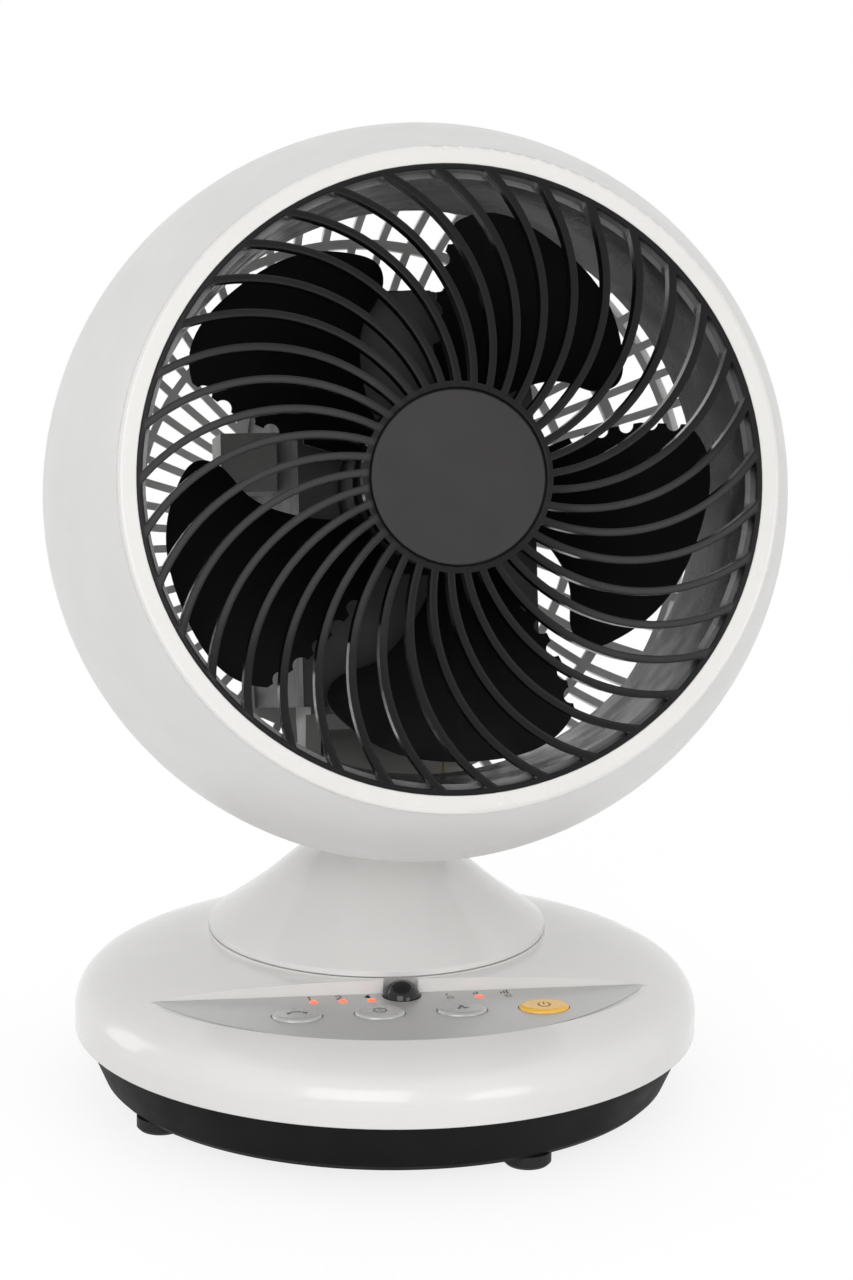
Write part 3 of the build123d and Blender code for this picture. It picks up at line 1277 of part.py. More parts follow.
with BuildPart() as duct_screws:
    with BuildSketch(station(SHELF_BACK_S - DUCT_HEAD_H)):
        with PolarLocations(*DUCT_SCREWS):
            Circle(DUCT_HEAD_R)
    extrude(amount=DUCT_HEAD_H)
    with BuildSketch(station(SHELF_BACK_S)):
        with PolarLocations(*DUCT_SCREWS):
            Circle(DUCT_SCREW_R)
    extrude(amount=DUCT_SCREW_L)

# The ribs follow a shallow dome that rises from the rim to the hub.
grille_front_s = HEAD_FRONT_S + GRILLE_RISE
DOME_DEPTH_R = (
    RIM_OUT_R**2 - GRILLE_HUB_R**2 + GRILLE_RISE**2
) / (2 * GRILLE_RISE)
dome_centre_s = grille_front_s - DOME_DEPTH_R


def dome_radius():
    """Radius of the sphere through the rim's and the hub's front edges."""
    return math.hypot(GRILLE_HUB_R, DOME_DEPTH_R)


def dome_s(r, depth):
    """Station of the grille's dome at a radius, a depth under its face."""
    return dome_centre_s + math.sqrt((dome_radius() - depth) ** 2 - r**2)


def grille_slab():
    """Domed slab the ribs are cut from."""
    inner_r = CAP_R
    outer_r = (RIM_IN_R + RIM_OUT_R) / 2
    middle_r = (inner_r + outer_r) / 2
    with BuildPart() as slab:
        with BuildSketch(HEAD_SECTION):
            with BuildLine():
                ThreePointArc(
                    (inner_r, dome_s(inner_r, 0)),
                    (middle_r, dome_s(middle_r, 0)),
                    (outer_r, dome_s(outer_r, 0)),
                )
                Line((outer_r, dome_s(outer_r, 0)), (outer_r, dome_s(outer_r, RIB_DEPTH)))
                ThreePointArc(
                    (outer_r, dome_s(outer_r, RIB_DEPTH)),
                    (middle_r, dome_s(middle_r, RIB_DEPTH)),
                    (inner_r, dome_s(inner_r, RIB_DEPTH)),
                )
                Line((inner_r, dome_s(inner_r, RIB_DEPTH)), (inner_r, dome_s(inner_r, 0)))
            make_face()
        revolve(axis=HEAD_AXIS)
    return slab.part


def rib_strip(turn):
    """One curved rib seen along the axis: it leaves the hub straight and bends with the sweep."""
    start = math.radians(turn)
    end = math.radians(turn + RIB_SWEEP)
    first = Vector(CAP_R * math.cos(start), CAP_R * math.sin(start))
    last = Vector(RIM_OUT_R * math.cos(end), RIM_OUT_R * math.sin(end))
    along = (last - first).normalized()
    bulge = Vector(along.Y, -along.X) * RIB_SAGITTA
    with BuildSketch() as strip:
        with BuildLine():
            ThreePointArc(first, (first + last) * 0.5 + bulge, last)
        trace(line_width=RIB_W)
    return strip.sketch


with BuildPart() as front_grille:
    with BuildSketch(station(RIM_BACK_S)):
        for place in range(RIB_COUNT):
            add(rib_strip(RIB_PHASE + place * 360 / RIB_COUNT))
    extrude(amount=grille_front_s - RIM_BACK_S + GAP)
    add(grille_slab(), mode=Mode.INTERSECT)
    with BuildSketch(station(RIM_BACK_S)):
        Circle(RIM_OUT_R)
        Circle(RIM_IN_R, mode=Mode.SUBTRACT)
    extrude(amount=HEAD_FRONT_S + GAP - RIM_BACK_S)
    with BuildSketch(station(grille_front_s - GRILLE_HUB_T)):
        Circle(GRILLE_HUB_R)
    extrude(amount=GRILLE_HUB_T)
    with BuildSketch(station(grille_front_s - CAP_T)):
        Circle(CAP_R + CAP_GROOVE)
    extrude(amount=2 * CAP_T, mode=Mode.SUBTRACT)

with BuildPart() as grille_cap:
    with BuildSketch(station(grille_front_s - CAP_T)):
        Circle(CAP_R)
    extrude(amount=CAP_T + SEAT)
    fillet(grille_cap.edges().sort_by(HEAD_AXIS)[-1], CAP_EDGE)

# ================================================================ motor and its housing


def pod_outline(inset):
    """Outline of the motor housing: square foot, round top."""
    half = POD_W / 2 - inset
    arch_y = POD_TOP - POD_W / 2
    with BuildSketch() as outline:
        with Locations((0, POD_BOTTOM + inset)):
            Rectangle(2 * half, arch_y - POD_BOTTOM - inset, align=(Align.CENTER, Align.MIN))
        with Locations((0, arch_y)):
            Circle(half)
    return outline.sketch


pod_outer = pod_outline(0)
pod_inner = pod_outline(POD_WALL)

with BuildPart() as motor_housing:
    with BuildSketch(station(HEAD_BACK_S)):
        add(pod_outer)
        add(pod_inner, mode=Mode.SUBTRACT)
        with GridLocations(2 * POD_SCREW_X, 2 * POD_SCREW_Y, 2, 2):
            Circle(POD_BOSS_R)
        add(pod_outer, mode=Mode.INTERSECT)
    extrude(amount=POD_BOSS_L + WALL + POD_WALL)
    with BuildSketch(station(HEAD_BACK_S)):
        add(pod_outer)
        add(pod_inner, mode=Mode.SUBTRACT)
    extrude(amount=SEAM_S - HEAD_BACK_S)
    add(rear_body(WALL + GAP), mode=Mode.INTERSECT)
    with BuildSketch(station(SEAM_S)):
        add(pod_outer)
        add(pod_inner, mode=Mode.SUBTRACT)
    extrude(amount=POD_FRONT_S - SEAM_S)
    with BuildSketch(station(POD_FRONT_S - POD_PLATE_T)):
        add(pod_outer)
        Circle(BEARING_R + BEARING_HOLE_GAP, mode=Mode.SUBTRACT)
        with PolarLocations(*MOTOR_SCREWS):
            Circle(SCREW_HOLE_R, mode=Mode.SUBTRACT)
    extrude(amount=POD_PLATE_T)
    with BuildSketch(station(TOWER_BACK_S)):
        with Locations((0, POD_TOP - POD_WALL)):
            Rectangle(TOWER_W, TOWER_TOP - POD_TOP + POD_WALL, align=(Align.CENTER, Align.MIN))
    extrude(amount=TOWER_FRONT_S - TOWER_BACK_S)
    with BuildSketch(station(HEAD_BACK_S)):
        with GridLocations(2 * POD_SCREW_X, 2 * POD_SCREW_Y, 2, 2):
            Circle(SCREW_HOLE_R)
    extrude(amount=POD_BOSS_L + WALL, mode=Mode.SUBTRACT)

with BuildPart() as run_capacitor:
    with BuildSketch(station(CAPACITOR_BACK_S)):
        with Locations((-POD_W / 2, CAPACITOR_BOTTOM)):
            Rectangle(CAPACITOR_W, CAPACITOR_H, align=(Align.MAX, Align.MIN))
    extrude(amount=CAPACITOR_L)

with BuildPart() as motor_can:
    with BuildSketch(station(CAN_BACK_S)):
        Circle(CAN_R)
    extrude(amount=CAN_WALL)
    with BuildSketch(station(CAN_BACK_S + CAN_WALL)):
        Circle(CAN_R)
        Circle(CAN_R - CAN_WALL, mode=Mode.SUBTRACT)
    extrude(amount=CAN_FRONT_S - SHIELD_T - CAN_BACK_S - CAN_WALL)
    with BuildSketch(station(CAN_BACK_S + CAN_WALL)):
        Circle(BEARING_R + BEARING_WALL)
        Circle(BEARING_R + FIT, mode=Mode.SUBTRACT)
    extrude(amount=BEARING_T)

with BuildPart() as motor_front_shield:
    with BuildSketch(station(CAN_FRONT_S - SHIELD_T)):
        Circle(CAN_R)
    extrude(amount=SHIELD_T)
    with BuildSketch(station(CAN_FRONT_S - BEARING_T - 2 * SEAT)):
        Circle(BEARING_R + BEARING_WALL)
    extrude(amount=BEARING_T)
    with BuildSketch(station(CAN_FRONT_S - BEARING_T - 2 * SEAT)):
        Circle(BEARING_R + FIT)
    extrude(amount=BEARING_T + 2 * SEAT - SHIELD_LIP_T, mode=Mode.SUBTRACT)
    with BuildSketch(station(CAN_FRONT_S - SHIELD_LIP_T)):
        Circle(SHAFT_R + WALL)
    extrude(amount=SHIELD_LIP_T, mode=Mode.SUBTRACT)
    with BuildSketch(station(CAN_FRONT_S - SHIELD_T)):
        with PolarLocations(*MOTOR_SCREWS):
            Circle(SCREW_HOLE_R)
    extrude(amount=SHIELD_T, mode=Mode.SUBTRACT)

with BuildPart() as motor_screws:
    with BuildSketch(station(CAN_FRONT_S - SHIELD_T)):
        with PolarLocations(*MOTOR_SCREWS):
            Circle(SCREW_R)
    extrude(amount=SHIELD_T + POD_PLATE_T)
    with BuildSketch(station(POD_FRONT_S)):
        with PolarLocations(*MOTOR_SCREWS):
            Circle(SCREW_HEAD_R)
    extrude(amount=SCREW_HEAD_H)

front_bearing_s = CAN_FRONT_S - SHIELD_LIP_T - BEARING_T
with BuildPart() as motor_bearings:
    with BuildSketch(station(CAN_BACK_S + CAN_WALL)):
        Circle(BEARING_R)
        Circle(SHAFT_R + FIT, mode=Mode.SUBTRACT)
    extrude(amount=BEARING_T)
    with BuildSketch(station(front_bearing_s)):
        Circle(BEARING_R)
        Circle(SHAFT_R + FIT, mode=Mode.SUBTRACT)
    extrude(amount=BEARING_T)

with BuildPart() as stator_core:
    with BuildSketch(station(CORE_BACK_S)):
        Circle(CAN_R - CAN_WALL - FIT)
        Circle(CORE_IN_R, mode=Mode.SUBTRACT)
    extrude(amount=CORE_FRONT_S - CORE_BACK_S)

with BuildPart() as stator_windings:
    for back_s in (CORE_BACK_S - COIL_OVERHANG, CORE_FRONT_S):
        with BuildSketch(station(back_s)):
            Circle(COIL_OUT_R)
            Circle(COIL_IN_R, mode=Mode.SUBTRACT)
        extrude(amount=COIL_OVERHANG)

with BuildPart() as rotor_core:
    with BuildSketch(station(CORE_BACK_S)):
        Circle(ROTOR_R)
        Circle(SHAFT_R, mode=Mode.SUBTRACT)
    extrude(amount=CORE_FRONT_S - CORE_BACK_S)

with BuildPart() as rotor_shaft:
    with BuildSketch(station(SHAFT_BACK_S)):
        Circle(SHAFT_R)
    extrude(amount=SHAFT_FRONT_S - SHAFT_BACK_S)

# ================================================================ impeller


def blade_point(r, angle):
    """Seen from the front, a point at a radius and an angle ahead of the first blade's middle."""
    turn = math.radians(BLADE_MID_ANGLE + angle)
    return (r * math.cos(turn), r * math.sin(turn))


def blade_section(angle):
    """Radial plane at an angle ahead of the blade's middle; its y axis runs forward."""
    turn = math.radians(BLADE_MID_ANGLE + angle)
    outward = RIGHT * math.cos(turn) + UPWARD * math.sin(turn)
    middle = HEAD_ORIGIN + FORWARD * (BLADE_MID_S + BLADE_LEAD * math.radians(angle))
    return Plane(origin=middle, x_dir=outward, z_dir=outward.cross(FORWARD))


def blade_outline():
    """Petal outline of the first blade, seen from the front."""
    trailing = [blade_point(r, angle) for r, angle in BLADE_TRAILING]
    tip = [blade_point(r, angle) for r, angle in BLADE_TIP_ARC]
    outer = [blade_point(r, angle) for r, angle in BLADE_OUTER]
    leading = [blade_point(r, angle) for r, angle in BLADE_LEADING]
    with BuildSketch() as outline:
        with BuildLine():
            Polyline(*trailing)
            Spline(trailing[-1], *tip, *outer, *leading)
            Line(leading[-1], trailing[0])
        make_face()
        with Locations(*[blade_point(r, angle) for r, angle in NOTCHES]):
            Circle(NOTCH_R, mode=Mode.SUBTRACT)
    return outline.sketch


with BuildPart() as blade:
    for step in range(BLADE_SHEET_STEPS + 1):
        angle = BLADE_SHEET_HALF_ANGLE * (2 * step / BLADE_SHEET_STEPS - 1)
        with BuildSketch(blade_section(angle)):
            with Locations((BLADE_ROOT_R, 0)):
                Rectangle(BLADE_SHEET_R - BLADE_ROOT_R, BLADE_T, align=(Align.MIN, Align.CENTER))
    loft(ruled=True)
    with BuildSketch(station(HUB_BACK_S - WALL)):
        add(blade_outline())
    extrude(amount=HUB_FRONT_S - HUB_BACK_S + 2 * WALL, mode=Mode.INTERSECT)

with BuildPart() as impeller:
    with BuildSketch(station(HUB_BACK_S)):
        Circle(HUB_OUT_R)
    extrude(amount=HUB_FRONT_S - HUB_BACK_S)
    fillet(impeller.edges().sort_by(HEAD_AXIS)[-1], HUB_EDGE)
    for place in range(BLADE_COUNT):
        add(blade.part.rotate(HEAD_AXIS, place * 360 / BLADE_COUNT))
    with BuildSketch(station(HUB_BACK_S)):
        Circle(HUB_OUT_R - HUB_WALL)
    extrude(amount=HUB_FRONT_S - HUB_WALL - HUB_BACK_S, mode=Mode.SUBTRACT)
    with BuildSketch(station(HUB_BACK_S + WALL)):
        Circle(HUB_BOSS_R)
    extrude(amount=HUB_FRONT_S - HUB_BACK_S - WALL)
    with BuildSketch(station(HUB_BACK_S)):
        Circle(SHAFT_R)
    extrude(amount=HUB_FRONT_S - HUB_BACK_S, mode=Mode.SUBTRACT)

with BuildPart() as impeller_nut:
    with BuildSketch(station(HUB_FRONT_S)):
        Circle(SPINNER_R)
    extrude(amount=SPINNER_T)
    fillet(impeller_nut.edges().sort_by(HEAD_AXIS)[-1], SPINNER_EDGE)
    with BuildSketch(station(HUB_FRONT_S)):
        Circle(SHAFT_R)
    extrude(amount=SHAFT_FRONT_S - HUB_FRONT_S + SEAT, mode=Mode.SUBTRACT)

pieces = {
    "base_bottom_cover": base_bottom_cover.part,
    "base_top_shell": base_top_shell.part,
    "rubber_feet": rubber_feet.part,
    "base_screws": base_screws.part,
    "base_weight": base_weight.part,
    "cord_inlet": cord_inlet.part,
    "chassis_screws": chassis_screws.part,
    "swivel_housing": swivel_housing.part,
    "thrust_washer": thrust_washer.part,
    "oscillation_motor": oscillation_motor.part,
    "oscillation_motor_shaft": oscillation_motor_shaft.part,
    "drive_pinion": drive_pinion.part,
    "turntable": turntable.part,
    "turntable_retainer": turntable_retainer.part,
    "turntable_screws": turntable_screws.part,
    "neck_shell": neck_shell.part,
    "tilt_stem": tilt_stem.part,
    "friction_washers": friction_washers.part,
    "tilt_bracket": tilt_bracket.part,
    "tilt_pivot_bolt": tilt_pivot_bolt.part,
    "tilt_pivot_nut": tilt_pivot_nut.part,
    "control_panel_overlay": control_panel_overlay.part,
    "ir_receiver_dome": ir_receiver_dome.part,
    "ir_receiver": ir_receiver.part,
    "timer_leds": timer_leds.part,
    "medium_speed_led": medium_speed_led.part,
    "idle_speed_leds": idle_speed_leds.part,
    "control_board": control_board.part,
    "control_board_screws": control_board_screws.part,
    "tact_switches": tact_switches.part,
    "power_supply_board": power_supply_board.part,
    "transformer": transformer.part,
    "rear_shell": rear_shell.part,
    "front_shell": front_shell.part,
    "shell_screws": shell_screws.part,
    "pod_screws": pod_screws.part,
    "bezel_ring": bezel_ring.part,
    "air_duct": air_duct.part,
    "duct_screws": duct_screws.part,
    "front_grille": front_grille.part,
    "grille_cap": grille_cap.part,
    "motor_housing": motor_housing.part,
    "run_capacitor": run_capacitor.part,
    "motor_can": motor_can.part,
    "motor_front_shield": motor_front_shield.part,
    "motor_screws": motor_screws.part,
    "motor_bearings": motor_bearings.part,
    "stator_core": stator_core.part,
    "stator_windings": stator_windings.part,
    "rotor_core": rotor_core.part,
    "rotor_shaft": rotor_shaft.part,
    "impeller": impeller.part,
    "impeller_nut": impeller_nut.part,
}
pieces.update(zip(BUTTON_NAMES, buttons))

extent = Compound(list(pieces.values())).bounding_box()
to_origin = Location(
    (-(extent.min.X + extent.max.X) / 2, -(extent.min.Y + extent.max.Y) / 2, -extent.min.Z)
)
print("moved by", to_origin.position)

for name, piece in pieces.items():
    placed = piece.moved(to_origin)
    placed.label = name
    export_step(placed, f"parts/{name}.step")
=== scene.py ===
"""Looks of the desk air circulator: finishes, printed marks, lamps, studio and camera."""

import json
import math

import bmesh
import bpy
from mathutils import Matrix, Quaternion, Vector


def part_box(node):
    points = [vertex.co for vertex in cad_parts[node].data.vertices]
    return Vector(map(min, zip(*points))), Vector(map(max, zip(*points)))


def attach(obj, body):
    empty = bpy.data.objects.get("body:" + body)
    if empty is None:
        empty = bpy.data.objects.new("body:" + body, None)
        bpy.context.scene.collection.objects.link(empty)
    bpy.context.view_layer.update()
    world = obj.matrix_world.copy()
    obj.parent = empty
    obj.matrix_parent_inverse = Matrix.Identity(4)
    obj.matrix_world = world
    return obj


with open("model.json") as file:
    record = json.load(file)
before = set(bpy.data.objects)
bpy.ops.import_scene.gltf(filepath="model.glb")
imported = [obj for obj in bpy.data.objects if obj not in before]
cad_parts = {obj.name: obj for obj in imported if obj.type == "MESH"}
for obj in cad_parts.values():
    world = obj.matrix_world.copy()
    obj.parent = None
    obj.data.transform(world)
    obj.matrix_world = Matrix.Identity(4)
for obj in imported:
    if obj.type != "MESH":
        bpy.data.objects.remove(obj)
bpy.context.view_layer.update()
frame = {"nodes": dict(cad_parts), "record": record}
MM = 0.001

shell_low, shell_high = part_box("base_top_shell")
BASE_CENTRE = (shell_low + shell_high) / 2
BASE_CENTRE.z = 0.0

# ---------------------------------------------------------------- materials
COLOUR_DETAIL = 5.0
GLOSS_DETAIL = 3.0
GRAIN_DETAIL = 2.0
GLOSS_FINENESS = 2.3
NOISE_LOW, NOISE_HIGH = 0.35, 0.65
COAT_ROUGH = 0.06
GRAIN_DEPTH = 0.0002
BEVEL_SAMPLES = 4
GLOW_SCALE = 900.0
GLOW_SPREAD = 0.2
LED_ROUGH = 0.2


def new_material(name):
    """Empty node material with its output and principled shader."""
    mat = bpy.data.materials.new(name)
    mat.use_nodes = True
    tree = mat.node_tree
    tree.nodes.clear()
    output = tree.nodes.new("ShaderNodeOutputMaterial")
    shader = tree.nodes.new("ShaderNodeBsdfPrincipled")
    tree.links.new(shader.outputs["BSDF"], output.inputs["Surface"])
    return mat, tree, shader


def noise(tree, scale, detail, distortion=0.0):
    """Noise in object space."""
    place = tree.nodes.new("ShaderNodeTexCoord")
    tex = tree.nodes.new("ShaderNodeTexNoise")
    tex.inputs["Scale"].default_value = scale
    tex.inputs["Detail"].default_value = detail
    tex.inputs["Distortion"].default_value = distortion
    tree.links.new(place.outputs["Object"], tex.inputs["Vector"])
    return tex.outputs["Fac"]


def spread(tree, factor, low, high, from_low=NOISE_LOW, from_high=NOISE_HIGH):
    """Maps a factor's middle range onto new values."""
    node = tree.nodes.new("ShaderNodeMapRange")
    node.inputs["From Min"].default_value = from_low
    node.inputs["From Max"].default_value = from_high
    node.inputs["To Min"].default_value = low
    node.inputs["To Max"].default_value = high
    tree.links.new(factor, node.inputs["Value"])
    return node.outputs["Result"]


def finish(
    name, color, rough, metallic=0.0, coat=0.0, mottle_and_reflection=0.03, patch_scale=30.0,
    rough_spread=0.05, grain=0.04, grain_scale=2500.0, edge=0.0, specular=0.5,
    distortion=0.0,
):
    """Moulded or metal surface: patchy colour, uneven gloss, fine grain and softened edges; strong
    patches, as on the air duct, are painted reflection.
    """
    mat, tree, shader = new_material(name)
    shader.inputs["Metallic"].default_value = metallic
    shader.inputs["Coat Weight"].default_value = coat
    shader.inputs["Coat Roughness"].default_value = COAT_ROUGH
    shader.inputs["Specular IOR Level"].default_value = specular

    # Patchy colour: random tone on most parts, and painted reflection where the patches are
    # strong.
    share = spread(tree, noise(tree, patch_scale, COLOUR_DETAIL, distortion), 0.0, 1.0)
    blend = tree.nodes.new("ShaderNodeMix")
    blend.data_type = "RGBA"
    blend.inputs["A"].default_value = (*[c * (1 - mottle_and_reflection) for c in color], 1.0)
    blend.inputs["B"].default_value = (*[min(1.0, c * (1 + mottle_and_reflection)) for c in color], 1.0)
    tree.links.new(share, blend.inputs["Factor"])
    tree.links.new(blend.outputs["Result"], shader.inputs["Base Color"])

    unevenness = noise(tree, patch_scale * GLOSS_FINENESS, GLOSS_DETAIL)
    gloss = spread(tree, unevenness, rough - rough_spread, rough + rough_spread)
    tree.links.new(gloss, shader.inputs["Roughness"])

    bump = tree.nodes.new("ShaderNodeBump")
    bump.inputs["Strength"].default_value = grain
    bump.inputs["Distance"].default_value = GRAIN_DEPTH
    tree.links.new(noise(tree, grain_scale, GRAIN_DETAIL), bump.inputs["Height"])
    if edge:
        bevel = tree.nodes.new("ShaderNodeBevel")
        bevel.samples = BEVEL_SAMPLES
        bevel.inputs["Radius"].default_value = edge
        tree.links.new(bevel.outputs["Normal"], bump.inputs["Normal"])
    tree.links.new(bump.outputs["Normal"], shader.inputs["Normal"])
    return mat


def glow(name, light, strength, body):
    """Lit lamp: an uneven glow on a tinted body."""
    mat, tree, shader = new_material(name)
    shader.inputs["Base Color"].default_value = (*body, 1.0)
    shader.inputs["Roughness"].default_value = LED_ROUGH
    shader.inputs["Emission Color"].default_value = (*light, 1.0)
    unevenness = noise(tree, GLOW_SCALE, GRAIN_DETAIL)
    level = spread(
        tree, unevenness, strength * (1 - GLOW_SPREAD), strength * (1 + GLOW_SPREAD)
    )
    tree.links.new(level, shader.inputs["Emission Strength"])
    return mat


MATS = {
    # White housings: glossy base and neck, satin head, bright ring round the opening.
    "gloss_white": finish("gloss_white", (0.82, 0.812, 0.797), 0.2, coat=0.3, mottle_and_reflection=0.012,
                          grain=0.012, edge=0.0006),
    "shell_white": finish("shell_white", (0.755, 0.75, 0.742), 0.38, mottle_and_reflection=0.015, grain=0.06,
                          rough_spread=0.04, edge=0.0006),
    "bezel_white": finish("bezel_white", (0.80, 0.79, 0.767), 0.25, coat=0.3, mottle_and_reflection=0.01,
                          grain=0.01, edge=0.0005),
    # Black and grey: tray, feet, grille and its cap, impeller, air duct and motor pod.
    "tray_black": finish("tray_black", (0.012, 0.0113, 0.0113), 0.5, mottle_and_reflection=0.1, grain=0.10,
                         edge=0.0005, specular=0.05),
    "foot_rubber": finish("foot_rubber", (0.012, 0.012, 0.012), 0.62, mottle_and_reflection=0.15, grain=0.2,
                          specular=0.3),
    "grille_black": finish("grille_black", (0.003, 0.003, 0.0034), 0.17, mottle_and_reflection=0.08, grain=0.02,
                           rough_spread=0.03, edge=0.0011, specular=0.22),
    "impeller_black": finish("impeller_black", (0.002, 0.002, 0.0022), 0.5, mottle_and_reflection=0.1,
                             grain=0.05, specular=0.15),
    "cap_grey": finish("cap_grey", (0.030, 0.028, 0.029), 0.5, mottle_and_reflection=0.05, grain=0.25,
                       grain_scale=3500.0, specular=0.25),
    # Air duct: dark grey whose strong, large light patches are painted reflection, standing in for
    # cloudy reflections on the shiny duct.
    "duct_grey": finish("duct_grey", (0.16, 0.16, 0.16), 0.24, metallic=0.5, mottle_and_reflection=0.45,
                        patch_scale=20.0, rough_spread=0.08, distortion=0.25),
    "pod_grey": finish("pod_grey", (0.03, 0.03, 0.032), 0.45, mottle_and_reflection=0.08, grain=0.1,
                       edge=0.0005, specular=0.35),
    # Control panel: silver face, keys, dome and unlit lamps.
    "panel_silver": finish("panel_silver", (0.56, 0.56, 0.55), 0.34, metallic=0.35, mottle_and_reflection=0.015,
                           patch_scale=22.0, rough_spread=0.02, grain=0.0),
    "key_grey": finish("key_grey", (0.50, 0.50, 0.49), 0.26, metallic=0.2, coat=0.3,
                       mottle_and_reflection=0.02, grain=0.0),
    "key_orange": finish("key_orange", (0.96, 0.54, 0.07), 0.26, coat=0.3, mottle_and_reflection=0.02,
                         grain=0.0),
    "dome_black": finish("dome_black", (0.003, 0.003, 0.0035), 0.1, coat=0.25, mottle_and_reflection=0.05,
                         grain=0.0, rough_spread=0.01, specular=0.3),
    "led_clear": finish("led_clear", (0.36, 0.345, 0.335), 0.2, mottle_and_reflection=0.05, grain=0.02),
    # Pieces inside, screws and the cord inlet.
    "board_green": finish("board_green", (0.02, 0.12, 0.05), 0.35, mottle_and_reflection=0.1, grain=0.05),
    "part_black": finish("part_black", (0.02, 0.02, 0.022), 0.4, mottle_and_reflection=0.1, grain=0.08),
    "steel": finish("steel", (0.55, 0.55, 0.56), 0.28, metallic=1.0, mottle_and_reflection=0.06, grain=0.03),
    "zinc": finish("zinc", (0.45, 0.46, 0.48), 0.35, metallic=1.0, mottle_and_reflection=0.12,
                   patch_scale=90.0, grain=0.05),
    "iron": finish("iron", (0.12, 0.12, 0.125), 0.6, metallic=0.7, mottle_and_reflection=0.15, grain=0.3),
    "light_grey": finish("light_grey", (0.42, 0.42, 0.41), 0.4, mottle_and_reflection=0.04, grain=0.06),
    "acetal": finish("acetal", (0.72, 0.72, 0.70), 0.35, mottle_and_reflection=0.02, grain=0.03),
    "copper": finish("copper", (0.60, 0.25, 0.10), 0.3, metallic=1.0, mottle_and_reflection=0.15,
                     patch_scale=300.0, grain=0.3, grain_scale=1400.0),
    "brass": finish("brass", (0.62, 0.45, 0.16), 0.3, metallic=1.0, mottle_and_reflection=0.06, grain=0.03),
    # Lit lamps and the printed marks.
    "led_red": glow("led_red", (1.0, 0.09, 0.03), 1.6, (0.8, 0.12, 0.08)),
    "ink": finish("ink", (0.10, 0.10, 0.10), 0.5, mottle_and_reflection=0.05, grain=0.0),
}

node_slots = {s["node"]: s["material_slot"] for s in frame["record"]["subparts"]}
for node, obj in frame["nodes"].items():
    mat = MATS["bezel_white"] if node == "bezel_ring" else MATS[node_slots[node]]
    obj.data.materials.clear()
    obj.data.materials.append(mat)


# ---------------------------------------------------------------- printed marks
def middle(node):
    """Middle of a node's box, in millimetres from the base's centre."""
    low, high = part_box(node)
    return ((low + high) / 2 - BASE_CENTRE) / MM


def top(node):
    """Height of a node's top, in millimetres."""
    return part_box(node)[1].z / MM


MARK_LIFT = 0.02
MARK_T = 0.05
PANEL_TOP = top("control_panel_overlay")
KEY_TOP = top("osc_button")

# The marks stand behind the panel's lamps, three to a row, a little to the left of each.
LED_PITCH = 11.0
MARK_BEHIND = 4.4
MARK_SHIFT = -1.0
TIMER_ROW = middle("timer_leds")
SPEED_ROW = middle("idle_speed_leds")
MARK_ROW_Y = TIMER_ROW.y + MARK_BEHIND
DIGIT_HEIGHT = 3.8
DIGIT_SLIM = 0.28
DIGIT_STROKE = 0.15
BAR_STEP = 1.2
BAR_WIDTH = 0.65
BAR_HEIGHTS = (1.7, 2.6, 3.5)

# Signs on the keys.
SIGN_STROKE = 0.5
SWING_WIDE, SWING_HIGH = 3.4, 3.0
SWING_DROP = 1.4
ARROW_HEAD = ((4.1, 0.6), (2.2, 0.4), (3.4, -1.1))
CLOCK_R = 2.3
MINUTE_HAND = 1.5
HOUR_HAND = 1.1
HAND_STROKE = 0.45
PETAL_TURNS = (90, 210, 330)
PETAL_OUT = 1.35
PETAL_LONG, PETAL_WIDE = 1.15, 0.62
PETAL_LEAN = 35
POWER_R = 2.2
POWER_DROP = 0.2
POWER_LINE = 2.4


def mark(name, outlines, height, body):
    """Flat printed mark: closed outlines in millimetres, lifted off the surface by a hair."""
    mesh = bpy.data.meshes.new(name)
    bm = bmesh.new()
    for outline in outlines:
        places = [BASE_CENTRE + Vector((x, y, height + MARK_LIFT)) * MM for x, y in outline]
        face = bm.faces.new([bm.verts.new(place) for place in places])
        made = bmesh.ops.extrude_face_region(bm, geom=[face])
        raised = [v for v in made["geom"] if isinstance(v, bmesh.types.BMVert)]
        bmesh.ops.translate(bm, verts=raised, vec=(0, 0, MARK_T * MM))
    bmesh.ops.recalc_face_normals(bm, faces=bm.faces)
    bm.to_mesh(mesh)
    bm.free()
    obj = bpy.data.objects.new(name, mesh)
    bpy.context.scene.collection.objects.link(obj)
    mesh.materials.append(MATS["ink"])
    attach(obj, body)


def stroke(points, width):
    """Outline of a band that follows a line of points."""
    left, right = [], []
    for i, (x, y) in enumerate(points):
        ax, ay = points[max(0, i - 1)]
        bx, by = points[min(len(points) - 1, i + 1)]
        length = math.hypot(bx - ax, by - ay)
        nx, ny = -(by - ay) / length * width / 2, (bx - ax) / length * width / 2
        left.append((x + nx, y + ny))
        right.append((x - nx, y - ny))
    return left + right[::-1]


def arc(cx, cy, rx, ry, start, end, steps=24):
    """Points of an elliptic arc, angles in degrees."""
    span = [math.radians(start + (end - start) * i / steps) for i in range(steps + 1)]
    return [(cx + rx * math.cos(a), cy + ry * math.sin(a)) for a in span]


def digit(text, x, y):
    """Plain digit drawn with strokes, its centre at a place."""
    w, h = DIGIT_HEIGHT * DIGIT_SLIM, DIGIT_HEIGHT / 2
    shapes = {
        "1": [(-w * 0.6, h * 0.6), (0, h), (0, -h)],
        "2": arc(0, h * 0.48, w, h * 0.52, 170, -40, 14) + [(-w, -h), (w, -h)],
        "4": [(w * 0.45, -h), (w * 0.45, h), (-w, -h * 0.35), (w * 1.1, -h * 0.35)],
    }
    line = [(x + px, y + py) for px, py in shapes[text]]
    return [stroke(line, DIGIT_HEIGHT * DIGIT_STROKE)]


